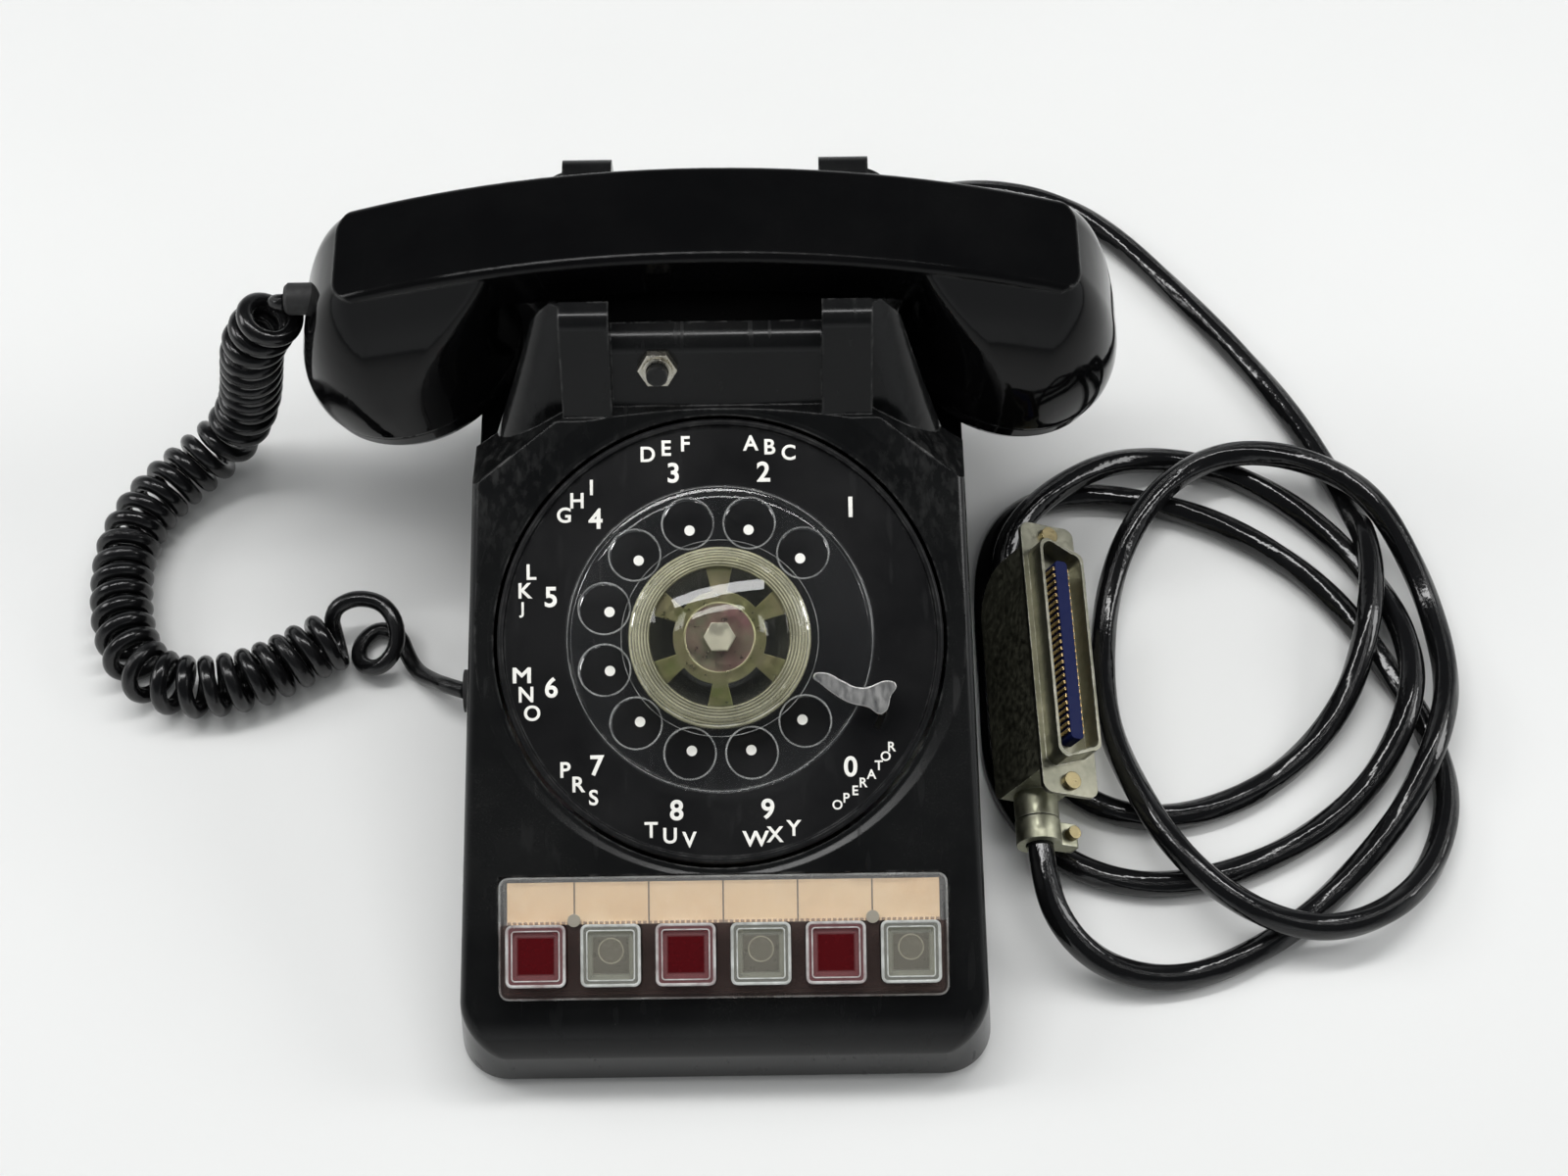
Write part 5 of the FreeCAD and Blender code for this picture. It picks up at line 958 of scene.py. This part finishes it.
class CurlyCordOperator(bpy.types.Operator):
    """Curly handset cord"""

    bl_idname = "telephone.curly_cord"
    bl_label = "Curly cord"

    def execute(self, context):
        cords = context.scene.telephone_cords
        colours = context.scene.telephone_colours
        axis = [place + CURL_LIFT for place in evenly(spline_points(metres(CURL_ROUTE), 40), 0.0008)]
        curls = curl_places(axis, cords)
        route = metres(CURL_START) + curls[STEPS_LED_IN:-STEPS_OPENED] + metres(CURL_END)
        line = evenly(spline_points(route, 6), 0.0009)
        strand = tube("coiled_cord", line, cords.strand_diameter / 2, 14)
        strand.data.materials.append(cord_skin("strand_skin", colours.cord, 0.2))
        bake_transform(strand)
        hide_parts("curly_cord")
        return {"FINISHED"}


class BodyFinishOperator(bpy.types.Operator):
    """Finishes of the housing, the base and what is inside"""

    bl_idname = "telephone.body_finish"
    bl_label = "Body finishes"

    def execute(self, context):
        colours = context.scene.telephone_colours
        # The housing's shoulders get real scuffs and a painted sheen.
        shell = black_moulding("housing_plastic", colours.shell, 0.2, 0.07, 0.18, scuffs_and_sheen=0.06, shine=0.29)
        finish_of(shell, "housing", "hook_plungers", "key_frame")
        finish_of(black_moulding("button_plastic", colours.shell, 0.25, 0.1, 0.3), "push_button")
        steel = metal("dull_steel", (0.42, 0.41, 0.39), (0.55, 0.54, 0.51), 0.36)
        finish_of(steel, "base_plate", "housing_screws", "dial_can", "dial_bracket", "hook_bracket",
                  "hook_lever", "gong_posts", "dial_shaft")
        nut = metal("nut_plating", (0.52, 0.49, 0.40), (0.64, 0.62, 0.55), 0.3, 160.0)
        finish_of(nut, "button_nut", "button_bushing")
        brass = metal("brass", (0.48, 0.34, 0.14), (0.62, 0.47, 0.22), 0.3)
        finish_of(brass, "main_gear", "governor", "gong_left", "gong_right", "clapper")
        rubber = plain_moulding("rubber", (0.018, 0.018, 0.018), 0.6)
        finish_of(rubber, "rubber_feet", "handset_boot", "handset_cord_grommet", "line_cable_grommet")
        dark = plain_moulding("dark_moulding", (0.03, 0.027, 0.024), 0.5)
        finish_of(dark, "network_block", "ringer_coil", "receiver_unit", "transmitter_unit")
        return {"FINISHED"}


class HandsetFinishOperator(bpy.types.Operator):
    """Finish of the handset"""

    bl_idname = "telephone.handset_finish"
    bl_label = "Handset finish"

    def execute(self, context):
        colours = context.scene.telephone_colours
        gloss = black_moulding("handset_plastic", colours.handset, 0.07, 0.02, 0.12, edge=0.0012,
                               grain=0.000004, scratch=0.06, shine=0.22)
        finish_of(gloss, "handset_handle", "transmitter_cap", "receiver_cap")
        return {"FINISHED"}


class DialFinishOperator(bpy.types.Operator):
    """Finishes of the dial"""

    bl_idname = "telephone.dial_finish"
    bl_label = "Dial finishes"

    def execute(self, context):
        colours = context.scene.telephone_colours
        plate = black_moulding("plate_paint", colours.plate, 0.4, 0.05, 0.12, edge=0.0004, grain=0.00002,
                               shine=0.27)
        finish_of(plate, "number_plate")
        finish_of(clear_moulding("wheel_plastic", (0.96, 0.97, 0.97), 0.03, 0.06, 0.1,
                                 form=rounded_fall(0.0375, 33.0)), "finger_wheel")
        finish_of(clear_moulding("cap_plastic", (0.97, 0.97, 0.90), 0.03, 0.02, 0.06,
                                 form=rounded_fall(0.0, 10.0)), "centre_cap")
        finish_of(rainbow_plating("clamp_plating"), "clamp_plate")
        screw = metal("screw_plating", (0.62, 0.60, 0.54), (0.74, 0.71, 0.65), 0.42, 40.0)
        finish_of(screw, "dial_hub_screw")
        return {"FINISHED"}


class FingerStopOperator(bpy.types.Operator):
    """Finger stop: a formed arm over the wheel and the foot that it stands on"""

    bl_idname = "telephone.finger_stop"
    bl_label = "Finger stop"

    def execute(self, context):
        brushing = (1.0, 0.2, 1.0)
        steel = metal("stop_steel", (0.66, 0.65, 0.63), (0.78, 0.77, 0.75), 0.36, 60.0, brushing)
        sizes = context.scene.telephone_stop
        piece = joined(context, [self.arm(context, sizes), self.foot(context, sizes)], "stop_arm")
        ridden(piece, steel, "phone_body")
        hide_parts("finger_stop")
        return {"FINISHED"}

    def arm(self, context, sizes):
        """Flat arm with a hollow upper edge and rounded rims."""
        curve = bpy.data.curves.new("arm", "CURVE")
        curve.dimensions = "2D"
        curve.fill_mode = "BOTH"
        curve.resolution_u = 10
        curve.extrude = sizes.core
        curve.bevel_depth = sizes.rim
        curve.bevel_resolution = 3
        line = curve.splines.new("BEZIER")
        line.bezier_points.add(len(STOP_OUTLINE) - 1)
        for point, place in zip(line.bezier_points, metres([(*each, 0) for each in STOP_OUTLINE])):
            point.co = place
            point.handle_left_type = "AUTO"
            point.handle_right_type = "AUTO"
        line.use_cyclic_u = True
        thing = bpy.data.objects.new("arm", curve)
        context.scene.collection.objects.link(thing)
        bpy.ops.object.select_all(action="DESELECT")
        thing.select_set(True)
        context.view_layer.objects.active = thing
        bpy.ops.object.convert(target="MESH")
        bpy.ops.object.shade_smooth_by_angle(angle=math.radians(35))
        return settled(context, "arm", PANEL @ Matrix.Translation((0, 0, sizes.level)))

    def foot(self, context, sizes):
        """Upright plate from the number plate to the arm's right end."""
        start, end = metres([(*each, 0) for each in STOP_FOOT])
        run = end - start
        bpy.ops.object.select_all(action="DESELECT")
        bpy.ops.mesh.primitive_cube_add(size=1.0)
        context.object.scale = (run.length, sizes.foot_thickness, sizes.foot_height)
        bpy.ops.object.transform_apply(location=False, rotation=False, scale=True)
        soften(sizes.foot_edge, 3)
        bpy.ops.object.shade_smooth_by_angle(angle=math.radians(35))
        middle = (start + end) / 2 + Vector((0, 0, sizes.foot_middle))
        turn = Matrix.Rotation(math.atan2(run.y, run.x), 4, "Z")
        return settled(context, "foot", PANEL @ Matrix.Translation(middle) @ turn)


class DialLetteringOperator(bpy.types.Operator):
    """Numbers, letters and dots of the number plate"""

    bl_idname = "telephone.dial_lettering"
    bl_label = "Dial lettering"

    def execute(self, context):
        sizes = context.scene.telephone_dial
        paint = plain_moulding("white_figures", context.scene.telephone_colours.figures, 0.45, edge=0.0)
        pieces = self.numbers(context, sizes) + self.operator_word(context, sizes)
        ridden(joined(context, pieces, "dial_figures"), paint, "phone_body")
        disc(sizes.dot_radius, sizes.dot_depth, 0.00005, 40)
        dots = copies(context, {"dot_%d" % index: on_circle(sizes.dot_circle, angle, sizes.dot_lift)
                                for index, angle in enumerate(HOLE_ANGLES)})
        ridden(joined(context, dots, "dial_dots"), paint, "phone_body")
        return {"FINISHED"}

    def numbers(self, context, sizes):
        """Each hole's number, with its letters outside it."""
        own_radius = {1: sizes.one_radius, 0: sizes.zero_radius}
        made = []
        for index, degrees in enumerate(HOLE_ANGLES):
            digit = (index + 1) % 10
            at = on_circle(own_radius.get(digit, sizes.digit_radius), degrees, sizes.figure_lift)
            text = "I" if digit == 1 else str(digit)
            made.append(self.figure(context, text, at, sizes.digit_height, sizes.digit_weight))
            for place, letter in enumerate(LETTERS.get(digit, "")):
                step = (place - 1) * math.degrees(sizes.letter_step) * (1 if digit <= 5 else -1)
                at = on_circle(sizes.letter_radius, degrees + step, sizes.figure_lift)
                made.append(self.figure(context, letter, at, sizes.letter_height, sizes.letter_weight,
                                        WIDE_LETTERS.get(letter, 1.0)))
        return made

    def operator_word(self, context, sizes):
        """The word round the zero."""
        word = "OPERATOR"
        made = []
        for place, letter in enumerate(word):
            share = place / (len(word) - 1)
            degrees = math.degrees(sizes.word_start + (sizes.word_end - sizes.word_start) * share)
            at = on_circle(sizes.word_radius, degrees, sizes.figure_lift)
            made.append(self.figure(context, letter, at, sizes.word_height, sizes.word_weight))
        return made

    def figure(self, context, text, at, height, weight, wider=1.0):
        """One upright figure on the plate, its middle at a place."""
        bpy.ops.object.select_all(action="DESELECT")
        bpy.ops.object.text_add()
        data = context.object.data
        data.body = text
        data.size = 1.0
        data.extrude = 0.005
        data.bevel_depth = weight
        data.bevel_resolution = 1
        data.resolution_u = 6
        bpy.ops.object.convert(target="MESH")
        corners = [Vector(corner) for corner in context.object.bound_box]
        low = Vector(map(min, *corners))
        high = Vector(map(max, *corners))
        scale = height / (high.y - low.y)
        size = Matrix.Diagonal((scale * wider, scale, scale * 0.5, 1.0))
        middle = Matrix.Translation(-(low + high) / 2)
        return settled(context, "figure", PANEL @ Matrix.Translation(at) @ size @ middle)


class ClearEdgeOperator(bpy.types.Operator):
    """Pale beads and ridges that paint the highlights on the rounded edges of the finger wheel, the dial's
    cap, the keys and their cover
    """

    bl_idname = "telephone.clear_edges"
    bl_label = "Clear edges"

    def execute(self, context):
        colours = context.scene.telephone_colours
        dial = context.scene.telephone_dial
        keys = context.scene.telephone_keys
        # The pale beads paint highlights on the wheel's and the cover's rounded edges.
        edge = clear_edge("clear_edge", colours.clear_edge, 0.12, 0.5)
        ridden(self.wheel_edges(context, dial), edge, "dial")
        # The cap's ridges carry a painted glint on their crests.
        skirt = ridged_skirt("cap_ridges", colours.yellow_edge)
        ridden(self.ridges(context, dial), skirt, "dial")
        # Brighter beads paint highlights round the keys.
        key_edge = clear_edge("key_edge", toned(colours.clear_edge, 1.7), 0.35, 0.75)
        for number, thing in zip(KEYS, self.key_edges(context, keys)):
            ridden(thing, key_edge, "key_%d" % number)
        frame_bead(context, keys.cover_sides, keys.cover_corner, keys.cover_bead)
        at = Matrix.Translation((0, keys.cover_middle, keys.cover_level))
        ridden(settled(context, "cover_edge", PANEL @ at), edge, "phone_body")
        return {"FINISHED"}

    def wheel_edges(self, context, dial):
        """Beads with painted highlights round the finger holes and along the wheel's two rims."""
        ring(context, dial.hole_edge, dial.hole_bead)
        beads = copies(context, {"hole_edge_%d" % index: on_circle(dial.hole_circle, angle, dial.hole_level)
                                 for index, angle in enumerate(HOLE_ANGLES)})
        for radius, level in ((dial.outer_edge, dial.outer_level), (dial.inner_edge, dial.inner_level)):
            ring(context, radius, dial.wheel_bead)
            beads.append(settled(context, "rim", PANEL @ Matrix.Translation((0, 0, level))))
        return joined(context, beads, "wheel_edges")

    def key_edges(self, context, keys):
        """A bead round each key cap and a thinner one round its window, both with painted highlights."""
        frame_bead(context, keys.cap_sides, keys.cap_corner, keys.cap_bead)
        outer = context.object
        frame_bead(context, keys.rim_sides, keys.rim_corner, keys.rim_bead)
        inner = settled(context, "rim", Matrix.Translation((0, 0, keys.rim_rise)))
        joined(context, [outer, inner], "key_edge")
        return copies(context, key_places("key_edge", keys.cap_level))

    def ridges(self, context, dial):
        """Ring of fine round ridges that lies on the cap's stepped skirt."""
        profile = metres(CAP_PROFILE)
        outer = []
        for start, end in zip(profile, profile[1:]):
            run = end - start
            away = Vector((run.y, -run.x)).normalized()
            count = max(1, round(run.length / dial.ridge_step))
            for step in range(count):
                for share, lift in ((0.0, dial.ridge_foot), (0.3, dial.ridge_rise), (0.6, dial.ridge_rise)):
                    outer.append(start + run * ((step + share) / count) + away * lift)
        under = Vector((dial.ridge_wall, dial.ridge_wall / 2))
        places = outer + [place - under for place in reversed(profile)] + outer[:1]
        bpy.ops.object.select_all(action="DESELECT")
        bpy.ops.mesh.primitive_circle_add(vertices=120, radius=places[0].x, location=(0, 0, places[0].y))
        bpy.ops.object.transform_apply(location=True, rotation=False, scale=False)
        bpy.ops.object.mode_set(mode="EDIT")
        bpy.ops.mesh.select_all(action="SELECT")
        for place, after in zip(places, places[1:]):
            bpy.ops.mesh.extrude_region_move(TRANSFORM_OT_translate={"value": (0, 0, after.y - place.y)})
            share = after.x / place.x
            bpy.ops.transform.resize(value=(share, share, 1.0))
        bpy.ops.mesh.select_all(action="SELECT")
        bpy.ops.mesh.remove_doubles(threshold=0.000005)
        bpy.ops.mesh.normals_make_consistent(inside=False)
        bpy.ops.object.mode_set(mode="OBJECT")
        bpy.ops.object.shade_smooth()
        return settled(context, "cap_ridges", PANEL)


class LensSeatOperator(bpy.types.Operator):
    """Seats round the key lenses and the discs in the clear ones"""

    bl_idname = "telephone.lens_seats"
    bl_label = "Lens seats"

    def execute(self, context):
        keys = context.scene.telephone_keys
        red_seat = plain_moulding("red_seat", (0.16, 0.02, 0.03), 0.3)
        pale_seat = plain_moulding("pale_seat", (0.26, 0.26, 0.22), 0.3)
        self.seat(context, keys)
        for number, seat in zip(KEYS, copies(context, key_places("lens_seat", keys.seat_level))):
            paint, slot = (red_seat, "red_lens") if number in RED_KEYS else (pale_seat, "clear_lens")
            ridden(seat, paint, "key_%d" % number)
        disc(keys.disc_radius, keys.disc_depth, keys.disc_edge, 48)
        discs = copies(context, key_places("lens_disc", keys.disc_level, CLEAR_KEYS, keys.disc_shift))
        ring(context, keys.disc_radius, keys.ring_bead)
        rings = copies(context, key_places("lens_ring", keys.ring_level, CLEAR_KEYS, keys.disc_shift))
        disc_paint = plain_moulding("lens_disc", (0.15, 0.145, 0.12), 0.25)
        ring_paint = plain_moulding("lens_ring", (0.62, 0.61, 0.54), 0.2)
        for number, lens_disc, lens_ring in zip(CLEAR_KEYS, discs, rings):
            ridden(lens_disc, disc_paint, "key_%d" % number)
            ridden(lens_ring, ring_paint, "key_%d" % number)
        return {"FINISHED"}

    def seat(self, context, keys):
        """Flat square collar between a key cap's walls and its lens."""
        rounded_sheet(context, keys.seat_sides, keys.seat_corner, 3)
        bpy.ops.mesh.inset(thickness=keys.seat_width)
        bpy.ops.mesh.delete(type="FACE")
        bpy.ops.object.mode_set(mode="OBJECT")
        thick = context.object.modifiers.new("thick", "SOLIDIFY")
        thick.thickness = keys.seat_depth
        thick.offset = -1.0
        bpy.ops.object.modifier_apply(modifier="thick")
        soft = context.object.modifiers.new("soft", "BEVEL")
        soft.width = keys.seat_edge
        soft.segments = 2
        bpy.ops.object.modifier_apply(modifier="soft")


class KeyFinishOperator(bpy.types.Operator):
    """Finishes of the key strip"""

    bl_idname = "telephone.key_finish"
    bl_label = "Key strip finishes"

    def execute(self, context):
        colours = context.scene.telephone_colours
        cover = clear_moulding("cover_plastic", (0.97, 0.96, 0.94), 0.05, 0.08, 0.12, 0.94,
                               veil=(key_row, (0.50, 0.37, 0.34)))
        finish_of(cover, "key_cover")
        finish_of(plain_moulding("boss_plastic", (0.30, 0.28, 0.23), 0.3), "cover_screws")
        red_key = clear_moulding("red_key", (0.26, 0.010, 0.017), 0.04, 0.06, 0.1, 0.78,
                                 veil=(key_frames, (0.56, 0.27, 0.28)))
        finish_of(red_key, *["key_cap_%d" % number for number in RED_KEYS])
        pale_key = clear_moulding("pale_key", (0.50, 0.48, 0.41), 0.04, 0.06, 0.1, 0.78,
                                  veil=(key_frames, (0.66, 0.67, 0.60)))
        finish_of(pale_key, *["key_cap_%d" % number for number in CLEAR_KEYS])
        red_lens = plain_moulding("red_lens", colours.red, 0.25, transmission=0.25)
        finish_of(red_lens, *["key_lens_%d" % number for number in RED_KEYS])
        grey_lens = plain_moulding("grey_lens", colours.grey, 0.3, transmission=0.2)
        finish_of(grey_lens, *["key_lens_%d" % number for number in CLEAR_KEYS])
        finish_of(clear_moulding("lamp_glass", (0.9, 0.9, 0.85), 0.1, 0.1), "key_lamps")
        finish_of(ivory_card("ivory_card", colours.card), "designation_strip")
        return {"FINISHED"}


class ConnectorFinishOperator(bpy.types.Operator):
    """Finishes of the ribbon connector"""

    bl_idname = "telephone.connector_finish"
    bl_label = "Connector finishes"

    def execute(self, context):
        colours = context.scene.telephone_colours
        olive = metal("olive_plating", colours.olive, toned(colours.olive, 1.45), 0.48, 60.0, wear=0.7)
        finish_of(olive, "connector_hood", "cable_clamp")
        shell = metal("shell_plating", (0.22, 0.22, 0.17), (0.34, 0.33, 0.26), 0.38, 70.0, wear=0.5)
        finish_of(shell, "connector_shell")
        finish_of(plain_moulding("blue_moulding", colours.insert, 0.5, shine=0.16), "connector_insert")
        contacts = metal("contact_plating", (0.66, 0.46, 0.20), (0.78, 0.58, 0.30), 0.25, 300.0)
        finish_of(contacts, "connector_contacts")
        screws = metal("screw_brass", (0.26, 0.22, 0.12), (0.40, 0.33, 0.18), 0.34, 120.0)
        finish_of(screws, "connector_screws")
        return {"FINISHED"}


class TelephonePanel(bpy.types.Panel):
    """Shows a button for each of the telephone's operators"""

    bl_idname = "VIEW3D_PT_telephone"
    bl_label = "Telephone"
    bl_space_type = "VIEW_3D"
    bl_region_type = "UI"
    bl_category = "Telephone"

    def draw(self, context):
        for operator in OPERATORS:
            self.layout.operator(operator.bl_idname)


OPERATORS = [StageOperator, CableOperator, CurlyCordOperator, BodyFinishOperator, HandsetFinishOperator,
             DialFinishOperator, FingerStopOperator, DialLetteringOperator, ClearEdgeOperator,
             LensSeatOperator, KeyFinishOperator, ConnectorFinishOperator]
GROUPS = {"telephone_cords": CordSizes, "telephone_dial": DialSizes, "telephone_stop": StopSizes,
          "telephone_keys": KeySizes, "telephone_colours": FinishColours, "telephone_stage": StageSizes}


def register():
    for each in [*GROUPS.values(), *OPERATORS, TelephonePanel]:
        bpy.utils.register_class(each)
    for name, group in GROUPS.items():
        setattr(bpy.types.Scene, name, bpy.props.PointerProperty(type=group))


def unregister():
    for name in GROUPS:
        delattr(bpy.types.Scene, name)
    for each in reversed([*GROUPS.values(), *OPERATORS, TelephonePanel]):
        bpy.utils.unregister_class(each)


def main():
    register()
    for operator in OPERATORS:
        family, name = operator.bl_idname.split(".")
        getattr(getattr(bpy.ops, family), name)()


if __name__ == "__main__":
    main()
